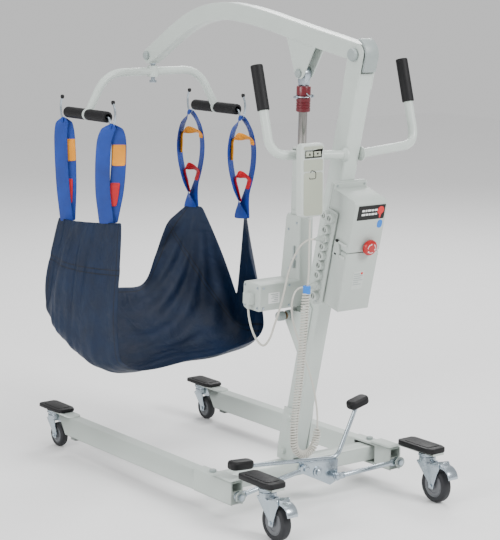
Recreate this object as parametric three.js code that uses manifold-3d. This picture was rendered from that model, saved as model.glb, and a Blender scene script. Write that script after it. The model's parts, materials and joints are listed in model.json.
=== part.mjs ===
// Mobile patient lift hoist: a wheeled base with two spreading legs, a leaning mast, a boom
// raised by a screw actuator, and a four point spreader bar that carries a fabric sling.
// Millimetres, +Z up.  The front, where the boom reaches, is -Y, and the operator stands at +Y.
// Heights are above the floor, and y = 0 is the line of the rear wheels' contact with it, until
// the last lines centre the whole hoist on its own footprint.

import * as THREE from 'three';
import { mergeVertices } from 'three/addons/utils/BufferGeometryUtils.js';
import Module from 'manifold-3d';

const wasm = await Module();
wasm.setup();

// ---------------------------------------------------------------- driving dimensions
const GAP = 0.3;                         // between pieces that touch

const LEG_X = 281;                       // leg and caster centre line from the middle
const LEG_WIDTH = 38;
const LEG_BOTTOM = 52;
const LEG_TOP = 112;
const LEG_FRONT = -1100;
const LEG_REAR = -352;
const LEG_PIVOT_Y = -290;

const CROSS_DEPTH = 60;                  // cross tube along y
const CROSS_BOTTOM = 63;
const CROSS_TOP = 105;

const FRONT_WHEEL = { radius: 37.5, width: 24, axleY: -1128, pinY: -1150, bracket: [] };
const REAR_WHEEL = { radius: 50, width: 28, axleY: 0, pinY: -38, bracket: [[28, 121], [31, 117], [31, 106]] };
const BRAKE_PIN = { y: 24, z: 112 };     // brake lever's pivot, in the rear caster's bracket
const FRONT_COVER_TOP = 128;
const REAR_COVER_TOP = 156;
const COVER = { width: 65, thickness: 15 };

const MAST_LEAN = THREE.MathUtils.degToRad(14.4);
const MAST_WIDTH = 50;
const MAST_DEPTH = 60;
const MAST_FOOT = { y: -232, z: 255 };   // a point on the mast's rear face
const MAST_BELOW = -146;                 // lower end, measured up the rear face from that point
const MAST_ABOVE = 985;                  // upper end

const BOOM_PIVOT = { y: -10, z: 1258 };
const BOOM_WIDTH = 40;
const BOOM_DEPTH = 50;
const LUG_PIN = { y: -252, z: 1197 };
const FOOT_PIN = { y: -279, z: 527 };
const TIP_PIN = { y: -1003, z: 1214 };

const HANGER_Y = TIP_PIN.y;
const SPREADER_Z = 1165;
const BAR_Z = 1045;
const BAR_X = 235;
const BAR_HALF = 122;

const CRANK = { y: -185, z: 92 };        // pedal pivot on the cross tube's rear face
const CRANK_LEFT = { x: 52, z: 22 };     // tie rod studs, from the pivot
const CRANK_RIGHT = { x: -60, z: -20 };
const TIE_Y = -168;
const TIE_Z = 77;
const TIE_X = 283;
const TIE_PLAY = 4.7;                    // room for the leg's bolt to swing forwards

const GRIP_LOW = new THREE.Vector3(247, -105, 1118);
const GRIP_HIGH = new THREE.Vector3(247, -136, 1233);
const HANDLE_RADIUS = 12.5;

const BOX_HALF = 55;                     // control unit and battery, half width

// ---------------------------------------------------------------- materials
const paint = { color: 0xd7ddd9, roughness: 0.45, metalness: 0.0 };
const zinc = { color: 0xb4bcc2, roughness: 0.35, metalness: 0.9 };
const chrome = { color: 0xc4c4c4, roughness: 0.12, metalness: 1.0 };
const blackPlastic = { color: 0x17181a, roughness: 0.6, metalness: 0.0 };
const foam = { color: 0x131416, roughness: 0.85, metalness: 0.0 };
const tyreGrey = { color: 0x3d3f42, roughness: 0.7, metalness: 0.0 };
const casePlastic = { color: 0xdde0dc, roughness: 0.5, metalness: 0.0 };
const panelPlastic = { color: 0xc9ccc0, roughness: 0.5, metalness: 0.0 };
const cordPlastic = { color: 0xd8d6cc, roughness: 0.55, metalness: 0.0 };
const redPlastic = { color: 0xc41a20, roughness: 0.35, metalness: 0.0 };
const darkRed = { color: 0x7c1420, roughness: 0.4, metalness: 0.0 };
const slingCloth = { color: 0x0b2440, roughness: 0.8, metalness: 0.0 };
const webbing = { color: 0x1246b4, roughness: 0.75, metalness: 0.0 };

const hoist = new THREE.Group();
const mastFrame = new THREE.Group();     // +Z up the mast, +Y out of its rear face
mastFrame.position.set(0, MAST_FOOT.y, MAST_FOOT.z);
mastFrame.rotation.x = -MAST_LEAN;
hoist.add(mastFrame);

function add(name, geometry, look, parent = hoist) {
  const mesh = new THREE.Mesh(geometry, new THREE.MeshStandardMaterial(look));
  mesh.name = name;
  parent.add(mesh);
  return mesh;
}

// ---------------------------------------------------------------- shape helpers
function box(w, d, h, x = 0, y = 0, z = 0) {
  return new THREE.BoxGeometry(w, d, h).translate(x, y, z).toNonIndexed();
}

// Outline points extruded along +Z, centred on z, with an optional small edge bevel.
function slab(shape, thickness, bevel = 0, curveSegments = 5) {
  const depth = thickness - 2 * bevel;
  const geometry = new THREE.ExtrudeGeometry(shape, {
    depth, steps: 1, curveSegments,
    bevelEnabled: bevel > 0, bevelSize: bevel, bevelThickness: bevel, bevelOffset: -bevel, bevelSegments: 1,
  });
  return geometry.translate(0, 0, -depth / 2);
}

function outline(points) {
  return new THREE.Shape(points.map(([a, b]) => new THREE.Vector2(a, b)));
}

// Slabs lying in each of the three planes: outline axes are (y,z), (x,z) and (x,y).
function acrossX(shape, thickness, x = 0, bevel = 0) {
  const swap = new THREE.Matrix4().makeBasis(
    new THREE.Vector3(0, 1, 0), new THREE.Vector3(0, 0, 1), new THREE.Vector3(1, 0, 0));
  return slab(shape, thickness, bevel).applyMatrix4(swap).translate(x, 0, 0);
}

function acrossY(shape, thickness, y = 0, bevel = 0) {
  const swap = new THREE.Matrix4().makeBasis(
    new THREE.Vector3(-1, 0, 0), new THREE.Vector3(0, 0, 1), new THREE.Vector3(0, 1, 0));
  return slab(shape, thickness, bevel).applyMatrix4(swap).translate(0, y, 0);
}

function acrossZ(shape, thickness, z = 0, bevel = 0) {
  return slab(shape, thickness, bevel).translate(0, 0, z);
}

function roundedRect(w, h, r, x = 0, y = 0, steps = 2) {
  const points = [];
  [[1, -1], [1, 1], [-1, 1], [-1, -1]].forEach(([sx, sy], corner) => {
    for (let i = 0; i <= steps; i += 1) {
      const a = ((corner - 1) + i / steps) * (Math.PI / 2);
      points.push([x + sx * (w / 2 - r) + r * Math.cos(a), y + sy * (h / 2 - r) + r * Math.sin(a)]);
    }
  });
  return outline(points);
}

function cylX(r, length, x, y, z, sides = 12) {
  return new THREE.CylinderGeometry(r, r, length, sides).rotateZ(Math.PI / 2).translate(x, y, z);
}

function cylY(r, length, x, y, z, sides = 12) {
  return new THREE.CylinderGeometry(r, r, length, sides).translate(x, y, z);
}

function cylZ(r, length, x, y, z, sides = 12) {
  return new THREE.CylinderGeometry(r, r, length, sides).rotateX(Math.PI / 2).translate(x, y, z);
}

function between(a, b, r, sides = 12) {
  const along = new THREE.Vector3().subVectors(b, a);
  const turn = new THREE.Quaternion().setFromUnitVectors(new THREE.Vector3(0, 1, 0), along.clone().normalize());
  const middle = new THREE.Vector3().addVectors(a, b).multiplyScalar(0.5);
  return new THREE.CylinderGeometry(r, r, along.length(), sides)
    .applyQuaternion(turn).translate(middle.x, middle.y, middle.z);
}

function point([x, y, z]) {
  return new THREE.Vector3(x, y, z);
}

// A path through corner points with each inner corner rounded.
function rounded(points, radius) {
  const path = new THREE.CurvePath();
  const p = points.map(point);
  let from = p[0];
  for (let i = 1; i < p.length - 1; i += 1) {
    const reach = Math.min(radius, p[i].distanceTo(p[i - 1]) * 0.48, p[i].distanceTo(p[i + 1]) * 0.48);
    const enter = p[i].clone().lerp(p[i - 1], reach / p[i].distanceTo(p[i - 1]));
    const leave = p[i].clone().lerp(p[i + 1], reach / p[i].distanceTo(p[i + 1]));
    path.add(new THREE.LineCurve3(from, enter));
    path.add(new THREE.QuadraticBezierCurve3(enter, p[i], leave));
    from = leave;
  }
  path.add(new THREE.LineCurve3(from, p[p.length - 1]));
  return path;
}

function tube(path, r, steps, sides = 10) {
  const section = new THREE.Shape();
  for (let i = 0; i < sides; i += 1) {
    const a = (2 * Math.PI * i) / sides;
    if (i === 0) section.moveTo(r, 0);
    else section.lineTo(r * Math.cos(a), r * Math.sin(a));
  }
  section.closePath();
  return new THREE.ExtrudeGeometry(section, { steps, extrudePath: path, bevelEnabled: false });
}

function smooth(points) {
  return new THREE.CatmullRomCurve3(points.map(point), false, 'centripetal');
}

// Turned about x: profile points are [radius, x].
function turnedX(profile, x, y, z, segments = 20) {
  const points = profile.map(([r, a]) => new THREE.Vector2(r, a));
  return new THREE.LatheGeometry(points, segments).rotateZ(-Math.PI / 2).translate(x, y, z);
}

function solid(geometry) {
  const g = geometry.clone();
  g.deleteAttribute('normal');
  g.deleteAttribute('uv');
  const m = mergeVertices(g, 1e-3);
  return new wasm.Manifold(new wasm.Mesh({
    numProp: 3,
    vertProperties: new Float32Array(m.attributes.position.array),
    triVerts: new Uint32Array(m.index.array),
  }));
}

function back(manifold) {
  const mesh = manifold.getMesh();
  const g = new THREE.BufferGeometry();
  g.setAttribute('position', new THREE.BufferAttribute(new Float32Array(mesh.vertProperties), 3));
  g.setIndex(new THREE.BufferAttribute(new Uint32Array(mesh.triVerts), 1));
  return g;
}

function cut(base, ...tools) {
  return back(tools.reduce((body, tool) => body.subtract(solid(tool)), solid(base)));
}

function join(...pieces) {
  return back(pieces.map(solid).reduce((body, piece) => body.add(piece)));
}

function common(a, b) {
  return back(solid(a).intersect(solid(b)));
}

function mirrored(geometry) {
  const g = (geometry.index ? geometry.toNonIndexed() : geometry.clone()).scale(-1, 1, 1);
  const p = g.attributes.position.array;
  for (let i = 0; i < p.length; i += 9) {
    for (let k = 0; k < 3; k += 1) [p[i + 3 + k], p[i + 6 + k]] = [p[i + 6 + k], p[i + 3 + k]];
  }
  return g;
}

const sides = [['left', 1], ['right', -1]];

// ---------------------------------------------------------------- base
const crossHalf = LEG_X + 7;
const crossY = LEG_PIVOT_Y;
const crossMiddle = (CROSS_BOTTOM + CROSS_TOP) / 2;
const crossBar = acrossX(roundedRect(CROSS_DEPTH, CROSS_TOP - CROSS_BOTTOM, 4, crossY, crossMiddle), 2 * crossHalf);
const pinHoles = sides.map(([, s]) => cylZ(6.3, 60, s * LEG_X, LEG_PIVOT_Y, crossMiddle));
add('cross_tube', cut(join(crossBar, cylY(11, 82, 0, -222.3, CRANK.z)), ...pinHoles), paint);

// A bolt across the hoist with a domed cap outside each ear.
function capBolt(y, z, shaftRadius, halfSpan, capRadius) {
  const cap = turnedX([[0, -1], [capRadius, -1], [capRadius, 5], [capRadius * 0.75, 9], [0, 10.5]],
    halfSpan + 1 + GAP, y, z, 12);
  return join(cylX(shaftRadius, 2 * halfSpan + 2, 0, y, z), cap, mirrored(cap));
}

// Mast socket: a folded plate that stands on the cross tube and cradles the mast's lower end.
const mastMiddleY = (z) => MAST_FOOT.y + (z - MAST_FOOT.z) * Math.tan(MAST_LEAN)
  - MAST_DEPTH / (2 * Math.cos(MAST_LEAN));
const socketPlate = (s) => acrossX(outline([
  [mastMiddleY(105) - 30, CROSS_TOP + GAP], [mastMiddleY(105) + 40, CROSS_TOP + GAP],
  [mastMiddleY(262) + 24, 262], [mastMiddleY(262) - 36, 262], [mastMiddleY(150) - 36, 150],
]), 4, s * (MAST_WIDTH / 2 + 2 + GAP));
const socketBase = box(MAST_WIDTH + 8 + 2 * GAP, 68, 3, 0, mastMiddleY(105) + 5, CROSS_TOP + 1.5 + GAP);

const pivotBolt = (s) => join(
  cylZ(6, 76, s * LEG_X, LEG_PIVOT_Y, LEG_TOP + 9 - 38),
  cylZ(11, 7, s * LEG_X, LEG_PIVOT_Y, LEG_TOP + 4.3 + 3.5, 6));
const socketBolt = (s, y, z) => cylX(10, 12, s * (MAST_WIDTH / 2 + 4 + 2 * GAP + 5), y, z);
add('mast_socket', join(socketPlate(1), socketPlate(-1), socketBase,
  ...sides.flatMap(([, s]) => [socketBolt(s, -268, 236), socketBolt(s, -298, 134)])), paint);
for (const [side, s] of sides) add(`pivot_bolt_${side}`, pivotBolt(s), zinc);

// ---------------------------------------------------------------- mast, in the mast's own frame
const mastSection = roundedRect(MAST_WIDTH, MAST_DEPTH, 4, 0, -MAST_DEPTH / 2);
mastSection.holes.push(roundedRect(MAST_WIDTH - 6, MAST_DEPTH - 6, 2, 0, -MAST_DEPTH / 2));
const mastTube = slab(mastSection, MAST_ABOVE - MAST_BELOW).translate(0, 0, (MAST_ABOVE + MAST_BELOW) / 2);

// A place in the world given in the mast's frame, and the other way round.
function inMast(out, up) {
  return {
    y: MAST_FOOT.y + out * Math.cos(MAST_LEAN) + up * Math.sin(MAST_LEAN),
    z: MAST_FOOT.z - out * Math.sin(MAST_LEAN) + up * Math.cos(MAST_LEAN),
  };
}

function toMast(y, z) {
  const [dy, dz] = [y - MAST_FOOT.y, z - MAST_FOOT.z];
  return {
    out: dy * Math.cos(MAST_LEAN) - dz * Math.sin(MAST_LEAN),
    up: dy * Math.sin(MAST_LEAN) + dz * Math.cos(MAST_LEAN),
  };
}

// ---------------------------------------------------------------- mast head and boom pivot
const pivot = toMast(BOOM_PIVOT.y, BOOM_PIVOT.z);
const HEAD_FLOOR = MAST_ABOVE;
const ear = new THREE.Shape();
ear.moveTo(-MAST_DEPTH, HEAD_FLOOR);
ear.lineTo(0, HEAD_FLOOR);
ear.lineTo(0, pivot.up + 8);
ear.absarc(pivot.out + 8, pivot.up + 6, 26, 0, Math.PI);
ear.lineTo(-MAST_DEPTH, pivot.up - 10);
const EAR_X = 23;
const earPlates = [1, -1].map((s) => acrossX(ear, 4, s * EAR_X));
const headFloor = box(2 * EAR_X + 4, MAST_DEPTH, 6, 0, -MAST_DEPTH / 2, HEAD_FLOOR + 1);
add('mast', cut(join(mastTube, ...earPlates, headFloor), cylX(7.8, 80, 0, pivot.out, pivot.up)), paint, mastFrame);
add('boom_pivot_bolt', capBolt(BOOM_PIVOT.y, BOOM_PIVOT.z, 7.5, EAR_X + 2, 17), zinc);

// ---------------------------------------------------------------- push handle and grips
const armStart = [MAST_WIDTH / 2 + GAP, -42, 995];
const gripLine = GRIP_HIGH.clone().sub(GRIP_LOW);
const corner = GRIP_LOW.clone().addScaledVector(gripLine, -113 / gripLine.z);
const gripTop = GRIP_HIGH.clone().addScaledVector(gripLine, -0.04);
const armPath = rounded([[armStart[0] + 2.5, armStart[1], armStart[2]], corner.toArray(), gripTop.toArray()], 48);
const collar = turnedX([[0, 0], [19, 0], [19, 5], [13, 9], [0, 9]], armStart[0], armStart[1], armStart[2], 12);
const arm = join(tube(armPath, HANDLE_RADIUS, 20, 10), collar);
const gripHole = between(GRIP_LOW.clone().addScaledVector(gripLine, -0.2), gripTop.clone().addScaledVector(gripLine, 0.005),
  HANDLE_RADIUS + GAP + 0.6, 10);
const grip = cut(between(GRIP_LOW, GRIP_HIGH, 16.5, 12), gripHole);
for (const [side, place] of [['left', (g) => g], ['right', mirrored]]) {
  add(`push_handle_${side}`, place(arm), paint);
  add(`grip_${side}`, place(grip), foam);
}

// ---------------------------------------------------------------- control unit on the mast
const BOX_OUT = 110;
const BOX_BACK = 10;
const SEAM_UP = 528;
add('control_plate', acrossY(roundedRect(116, 360, 8, 0, 520), BOX_BACK - GAP, (BOX_BACK + GAP) / 2), casePlastic, mastFrame);
const ESTOP = { x: -14, up: 549 };
const upperCase = acrossX(outline([
  [BOX_BACK + GAP, SEAM_UP + 1], [BOX_OUT, SEAM_UP + 1], [BOX_OUT, 652], [98, 668], [34, 684], [BOX_BACK + GAP, 684],
]), 2 * BOX_HALF, 0, 3);
add('control_unit', cut(upperCase, cylY(9, 26, ESTOP.x, BOX_OUT, ESTOP.up)), casePlastic, mastFrame);
const latch = acrossX(outline([[58, 508], [84, 508], [84, 526], [74, 548], [58, 548]]), 7, BOX_HALF + 3);
const latchGap = box(2 * BOX_HALF + 2 * GAP, 120, 40, 0, 70, SEAM_UP + 1 - GAP + 20);
const cutLatch = cut(latch, latchGap);
add('battery_pack', join(acrossX(outline([
  [BOX_BACK + GAP, 361], [BOX_OUT, 361], [BOX_OUT, SEAM_UP - 1], [BOX_BACK + GAP, SEAM_UP - 1],
]), 2 * BOX_HALF, 0, 3), cutLatch, mirrored(cutLatch)), casePlastic, mastFrame);
const stopButton = join(cylY(8, 10, ESTOP.x, BOX_OUT + 3, ESTOP.up),
  cylY(20, 12, ESTOP.x, BOX_OUT + 13.5, ESTOP.up, 24));
add('emergency_stop', stopButton, redPlastic, mastFrame);

const SOCKET_OUT = 28;
const SOCKET_FACE = 76;
const SOCKET_UPS = [567, 543, 519, 493, 465, 441, 406, 376];
const LEAD_SOCKET = SOCKET_UPS[1];
const HANDSET_SOCKET = SOCKET_UPS[6];
const stripX = BOX_HALF + 3 + GAP;
const strip = acrossX(outline([[12, 360], [52, 360], [52, 622], [12, 622]]), 5, stripX + 2.5);
const socketPlaces = [[14.5, 603], [38, 603], ...SOCKET_UPS.map((up) => [SOCKET_OUT, up])];
const bosses = socketPlaces.map(([out, up]) => cylX(11, SOCKET_FACE - stripX - 1, (SOCKET_FACE + stripX + 1) / 2, out, up, 10));
const PLUGGED = [LEAD_SOCKET, HANDSET_SOCKET];
const PLUG_TIP = 104;
const plugBody = (up) => turnedX([[0, SOCKET_FACE - 14], [9.5, SOCKET_FACE - 14], [9.5, SOCKET_FACE + 6],
  [4, PLUG_TIP], [0, PLUG_TIP]], 0, SOCKET_OUT, up, 12);
add('socket_bank', join(strip, ...bosses, plugBody(LEAD_SOCKET), plugBody(HANDSET_SOCKET)),
  casePlastic, mastFrame);

// ---------------------------------------------------------------- handset, hooked over the left arm
const HANDSET = { x: 157, y: -24, z: 940, width: 76, height: 190, depth: 25 };
const handsetBack = HANDSET.y - HANDSET.depth / 2;
const handsetFace = HANDSET.y + HANDSET.depth / 2;
const BUTTON = { width: 22, height: 13, z: 1008, apart: 26 };
const buttonRecess = (s) => box(BUTTON.width + 1, 20, BUTTON.height + 1,
  HANDSET.x + s * BUTTON.apart / 2, handsetFace, BUTTON.z);
const strap = outline([[handsetBack + 3, 1016], [handsetBack + 3, 1021], [-82, 1021], [-82, 988], [-78, 988], [-78, 1016]]);
add('handset_case', cut(join(
  acrossY(roundedRect(HANDSET.width, HANDSET.height, 10, -HANDSET.x, HANDSET.z), HANDSET.depth, HANDSET.y, 3),
  acrossX(strap, 30, HANDSET.x),
  turnedX([[0, -2], [7, -2], [7, 3], [4, 10], [0, 10]], 0, 0, 0, 12).rotateY(Math.PI / 2)
    .translate(HANDSET.x, HANDSET.y, HANDSET.z - HANDSET.height / 2)),
buttonRecess(1), buttonRecess(-1)), panelPlastic);
const button = (s) => box(BUTTON.width, 8, BUTTON.height, HANDSET.x + s * BUTTON.apart / 2, handsetFace + 2 - 4, BUTTON.z);
add('handset_button_up', button(1), panelPlastic);
add('handset_button_down', button(-1), panelPlastic);

// ---------------------------------------------------------------- cords
const CORD_RADIUS = 3;
const COIL_RADIUS = 8.5;
const handsetPlugTip = { x: PLUG_TIP + 1.2, ...inMast(SOCKET_OUT, HANDSET_SOCKET) };
const leadPlugTip = { x: PLUG_TIP + 1.6, ...inMast(SOCKET_OUT, LEAD_SOCKET) };
const HANDSET_CORD = [
  [157, -24, 834.7], [157, -24, 815], [157, -25, 780], [157, -26, 740], [157, -27, 700], [159, -28, 670], [162, -29, 651],
];
const HANDSET_COIL = [
  [162, -29, 650.7], [165, -30, 625], [168, -32, 560], [172, -35, 490], [178, -38, 410], [186, -42, 330],
  [190, -45, 270], [185, -49, 228], [166, -54, 204], [140, -58, 197], [114, -63, 206], [98, -67, 228], [91, -70, 262],
];
const HANDSET_TAIL = [
  [91, -70, 263.2], [91, -70, 290], [95, -70, 325], [106, -70, 376], [124, -70, 428], [140, -71, 469], [154, -72, 506],
  [166, -74, 540], [172, -78, 576], [168, -84, 609], [152, -92, 633], [130, -101, 641],
  [handsetPlugTip.x, handsetPlugTip.y, handsetPlugTip.z],
];
const ACTUATOR_LEAD = [
  [leadPlugTip.x, leadPlugTip.y, leadPlugTip.z], [118, -76, 773], [127, -98, 757], [132, -126, 716], [134, -143, 680],
  [141, -162, 600], [150, -184, 530], [157, -199, 487], [163, -218, 468], [169, -238, 480], [173, -256, 508],
  [174, -268, 540], [174, -272, 562.6],
];
add('handset_cord', tube(smooth(HANDSET_CORD), CORD_RADIUS, 10, 8), cordPlastic);
add('handset_coil', tube(smooth(HANDSET_COIL), COIL_RADIUS, 24, 10), cordPlastic);
add('handset_cord_tail', tube(smooth(HANDSET_TAIL), CORD_RADIUS, 26, 8), cordPlastic);
add('actuator_lead', tube(smooth(ACTUATOR_LEAD), CORD_RADIUS, 30, 8), cordPlastic);

// ---------------------------------------------------------------- actuator mount on the mast
const mountPlate = (s) => acrossX(outline([
  [-297, 514], [-294, 538], [-276, 543], [-226, 543], [-190, 578], [-176, 560], [-210, 428], [-238, 424],
]), 4, s * (MAST_WIDTH / 2 + 2 + GAP));
const mastFrontY = (z) => mastMiddleY(z) - MAST_DEPTH / (2 * Math.cos(MAST_LEAN)) - GAP;
const mountWeb = acrossX(outline([[mastFrontY(438) - 4, 438], [mastFrontY(438), 438], [mastFrontY(500), 500],
  [mastFrontY(500) - 4, 500]]), MAST_WIDTH + 6);
add('actuator_mount', cut(join(mountPlate(1), mountPlate(-1), mountWeb), cylX(6.4, 80, 0, FOOT_PIN.y, FOOT_PIN.z)), paint);
const footSpacer = cylX(11, 12, MAST_WIDTH / 2 - 8, FOOT_PIN.y, FOOT_PIN.z);
add('actuator_foot_bolt', join(capBolt(FOOT_PIN.y, FOOT_PIN.z, 6, MAST_WIDTH / 2 + 4 + GAP, 14),
  footSpacer, mirrored(footSpacer)), zinc);

// ---------------------------------------------------------------- actuator, in its own frame
// +Z runs from the foot pin to the lug pin, and the motor points along +X.
const actuatorFrame = new THREE.Group();
actuatorFrame.position.set(0, FOOT_PIN.y, FOOT_PIN.z);
actuatorFrame.rotation.x = -Math.atan2(LUG_PIN.y - FOOT_PIN.y, LUG_PIN.z - FOOT_PIN.z);
hoist.add(actuatorFrame);
const ACTUATOR_LENGTH = Math.hypot(LUG_PIN.y - FOOT_PIN.y, LUG_PIN.z - FOOT_PIN.z);
const HOUSING_TOP = 284;
const TUBE_TOP = 468;
const MOTOR = { end: 160, z: 68, across: 78, tall: 76 };
const housing = acrossX(outline([
  [-44, 26], [18, 26], [34, 48], [31, HOUSING_TOP - 8], [24, HOUSING_TOP], [-26, HOUSING_TOP], [-33, HOUSING_TOP - 8],
  [-50, 110], [-50, 40],
]), 47, 0, 3);
const motor = acrossX(roundedRect(MOTOR.across, MOTOR.tall, 9, 0, MOTOR.z), MOTOR.end - 15, (MOTOR.end + 15) / 2, 3);
const tongue = new THREE.Shape();
tongue.moveTo(13, 30);
tongue.lineTo(-13, 30);
tongue.lineTo(-13, 0);
tongue.absarc(0, 0, 13, Math.PI, 2 * Math.PI);
const tubeSection = roundedRect(40, 40, 8);
tubeSection.holes.push(new THREE.Path(Array.from({ length: 14 }, (_, i) => new THREE.Vector2(
  15 * Math.cos(i * Math.PI / 7), 15 * Math.sin(i * Math.PI / 7)))));
const outerTube = slab(tubeSection, TUBE_TOP - HOUSING_TOP + 2).translate(0, 0, (TUBE_TOP + HOUSING_TOP - 2) / 2);
const BORE_LOW = 60;
const rodBore = cylZ(15, HOUSING_TOP - BORE_LOW, 0, 0, (HOUSING_TOP + BORE_LOW) / 2, 14);
const motorPlug = join(box(20, 30, 30, MOTOR.end + 9, 2, MOTOR.z - 4), cylZ(6, 14, 174, 5.6, MOTOR.z - 24));
add('actuator_body', cut(join(housing, motor, acrossX(tongue, 20), outerTube, motorPlug),
  cylX(6.4, 30, 0, 0, 0), rodBore), casePlastic, actuatorFrame);

const ROD_LOW = 150;
const SLEEVE = { low: 566, high: 637, radius: 20 };
const rodEnd = new THREE.Shape();
rodEnd.moveTo(-12, ACTUATOR_LENGTH - 30);
rodEnd.lineTo(12, ACTUATOR_LENGTH - 30);
rodEnd.lineTo(18, ACTUATOR_LENGTH - 2);
rodEnd.absarc(0, ACTUATOR_LENGTH, 18, 0, Math.PI);
const rod = join(
  cylZ(12, SLEEVE.high - ROD_LOW, 0, 0, (SLEEVE.high + ROD_LOW) / 2, 12),
  cylZ(9, 12, 0, 0, SLEEVE.high + 3, 12),
  acrossX(rodEnd, 20));
add('actuator_rod', cut(rod, cylX(7, 30, 0, 0, ACTUATOR_LENGTH, 10)), chrome, actuatorFrame);
const sleeveRing = (r, low, high) => [[r, low], [r, high]];
const sleeve = new THREE.LatheGeometry([
  ...sleeveRing(SLEEVE.radius, SLEEVE.low, SLEEVE.low + 40), ...sleeveRing(SLEEVE.radius - 2, SLEEVE.low + 41, SLEEVE.low + 46),
  ...sleeveRing(SLEEVE.radius, SLEEVE.low + 47, SLEEVE.high), ...sleeveRing(13, SLEEVE.high, SLEEVE.low),
  [SLEEVE.radius, SLEEVE.low],
].map(([r, z]) => new THREE.Vector2(r, z)), 14).rotateX(Math.PI / 2);
add('release_sleeve', sleeve, darkRed, actuatorFrame);

// ---------------------------------------------------------------- boom
const boomLine = new THREE.SplineCurve([
  [12, 1258], [-100, 1279], [-200, 1297], [-300, 1316], [-400, 1335], [-500, 1350], [-600, 1357], [-700, 1347],
  [-780, 1325], [-850, 1294], [-930, 1252], [-1012, 1206],
].map(([y, z]) => new THREE.Vector2(y, z)));
function boomOutline(half, samples, from = 0, to = 1) {
  const top = [];
  const low = [];
  for (let i = 0; i <= samples; i += 1) {
    const u = from + (to - from) * (i / samples);
    const t = boomLine.getTangent(Math.max(u, 0));
    const p = boomLine.getPoint(Math.max(u, 0)).addScaledVector(t, 1000 * Math.min(u, 0));
    top.push([p.x + t.y * half, p.y - t.x * half]);
    low.push([p.x - t.y * half, p.y + t.x * half]);
  }
  return outline([...top, ...low.reverse()]);
}
const lugPlate = (s) => acrossX(outline([
  [-310, 1296], [-182, 1272], [-234, 1190], [-242, 1182], [-262, 1182], [-270, 1190],
]), 4, s * 16);
const tipSlot = acrossX(outline([
  [TIP_PIN.y - 40, TIP_PIN.z - 60], [TIP_PIN.y + 40, TIP_PIN.z - 60], [TIP_PIN.y + 20, TIP_PIN.z + 6],
  [TIP_PIN.y, TIP_PIN.z + 19], [TIP_PIN.y - 20, TIP_PIN.z + 8],
]), 16);
const tipRelief = acrossX(outline([
  ...[-25, -45, -65, -90, -115, -135, -155].map((a) => [26, a]), [90, -155], [90, -90], [90, -25],
].map(([r, a]) => [TIP_PIN.y + r * Math.cos(a * Math.PI / 180), TIP_PIN.z + r * Math.sin(a * Math.PI / 180)])), 60);
const boomHollow = acrossX(boomOutline(BOOM_DEPTH / 2 - 3, 12, -0.005, 0.92), BOOM_WIDTH - 6);
const boomBody = cut(join(acrossX(boomOutline(BOOM_DEPTH / 2, 20), BOOM_WIDTH), lugPlate(1), lugPlate(-1)), boomHollow,
  cylX(7.8, 80, 0, BOOM_PIVOT.y, BOOM_PIVOT.z),
  tipSlot, tipRelief);
// The lug pin is two stubs, one from each plate, that stop short of the actuator's end eye.
const lugStub = join(cylX(6, 7, 14, LUG_PIN.y, LUG_PIN.z), cylX(12, 5, 20, LUG_PIN.y, LUG_PIN.z, 14));
const boomTip = capBolt(TIP_PIN.y, TIP_PIN.z, 6, BOOM_WIDTH / 2 - 1, 13);
add('boom', join(boomBody, lugStub, mirrored(lugStub), boomTip), paint);

// ---------------------------------------------------------------- hanger
const TUBE_R = 12.5;
const hangerEye = new THREE.Shape();
hangerEye.absarc(TIP_PIN.y, TIP_PIN.z, 13, 0, Math.PI);
hangerEye.lineTo(TIP_PIN.y - 8, TIP_PIN.z - 28);
hangerEye.lineTo(TIP_PIN.y + 8, TIP_PIN.z - 28);
const STEM_R = 6;
const stemLow = SPREADER_Z - TUBE_R - 14;
add('hanger_swivel', cut(join(acrossX(hangerEye, 12),
  cylZ(STEM_R, TIP_PIN.z - 24 - stemLow, 0, HANGER_Y, (TIP_PIN.z - 24 + stemLow) / 2),
  cylZ(11, 7, 0, HANGER_Y, stemLow - 3.5, 6)), cylX(6.3, 30, 0, TIP_PIN.y, TIP_PIN.z)), zinc);
const spreaderPath = rounded([
  [-BAR_X, HANGER_Y, BAR_Z], [-168, HANGER_Y, SPREADER_Z + 1], [168, HANGER_Y, SPREADER_Z + 1], [BAR_X, HANGER_Y, BAR_Z],
], 62);
const hub = cylZ(17, 2 * TUBE_R + 8, 0, HANGER_Y, SPREADER_Z + 1.5, 16);
const clampRing = (s) => cylY(17, 9, s * BAR_X, HANGER_Y, BAR_Z, 16);
const HOOK_R = 3.2;
const HOOK_BEND = BAR_Z - 24;
const hookWire = (s, e) => {
  const path = rounded([
    [s * BAR_X, HANGER_Y + e * 110, BAR_Z], [s * BAR_X, HANGER_Y + e * 124, BAR_Z - 2],
    [s * BAR_X, HANGER_Y + e * 130, HOOK_BEND], [s * BAR_X, HANGER_Y + e * 150, HOOK_BEND],
    [s * BAR_X, HANGER_Y + e * 157, BAR_Z], [s * BAR_X, HANGER_Y + e * 157, BAR_Z + 24],
    [s * BAR_X, HANGER_Y + e * 147, BAR_Z + 44],
  ], 10);
  return join(tube(path, HOOK_R, 18, 6), new THREE.SphereGeometry(6, 8, 5)
    .translate(s * BAR_X, HANGER_Y + e * 146.5, BAR_Z + 46));
};
const hookBar = (s) => join(cylY(9, 2 * BAR_HALF - 8, s * BAR_X, HANGER_Y, BAR_Z, 12), hookWire(s, 1), hookWire(s, -1));
add('spreader', cut(join(tube(spreaderPath, TUBE_R, 28, 10), hub, clampRing(1), clampRing(-1), hookBar(1), hookBar(-1)),
  cylZ(STEM_R + GAP, 90, 0, HANGER_Y, SPREADER_Z)), paint);
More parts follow.
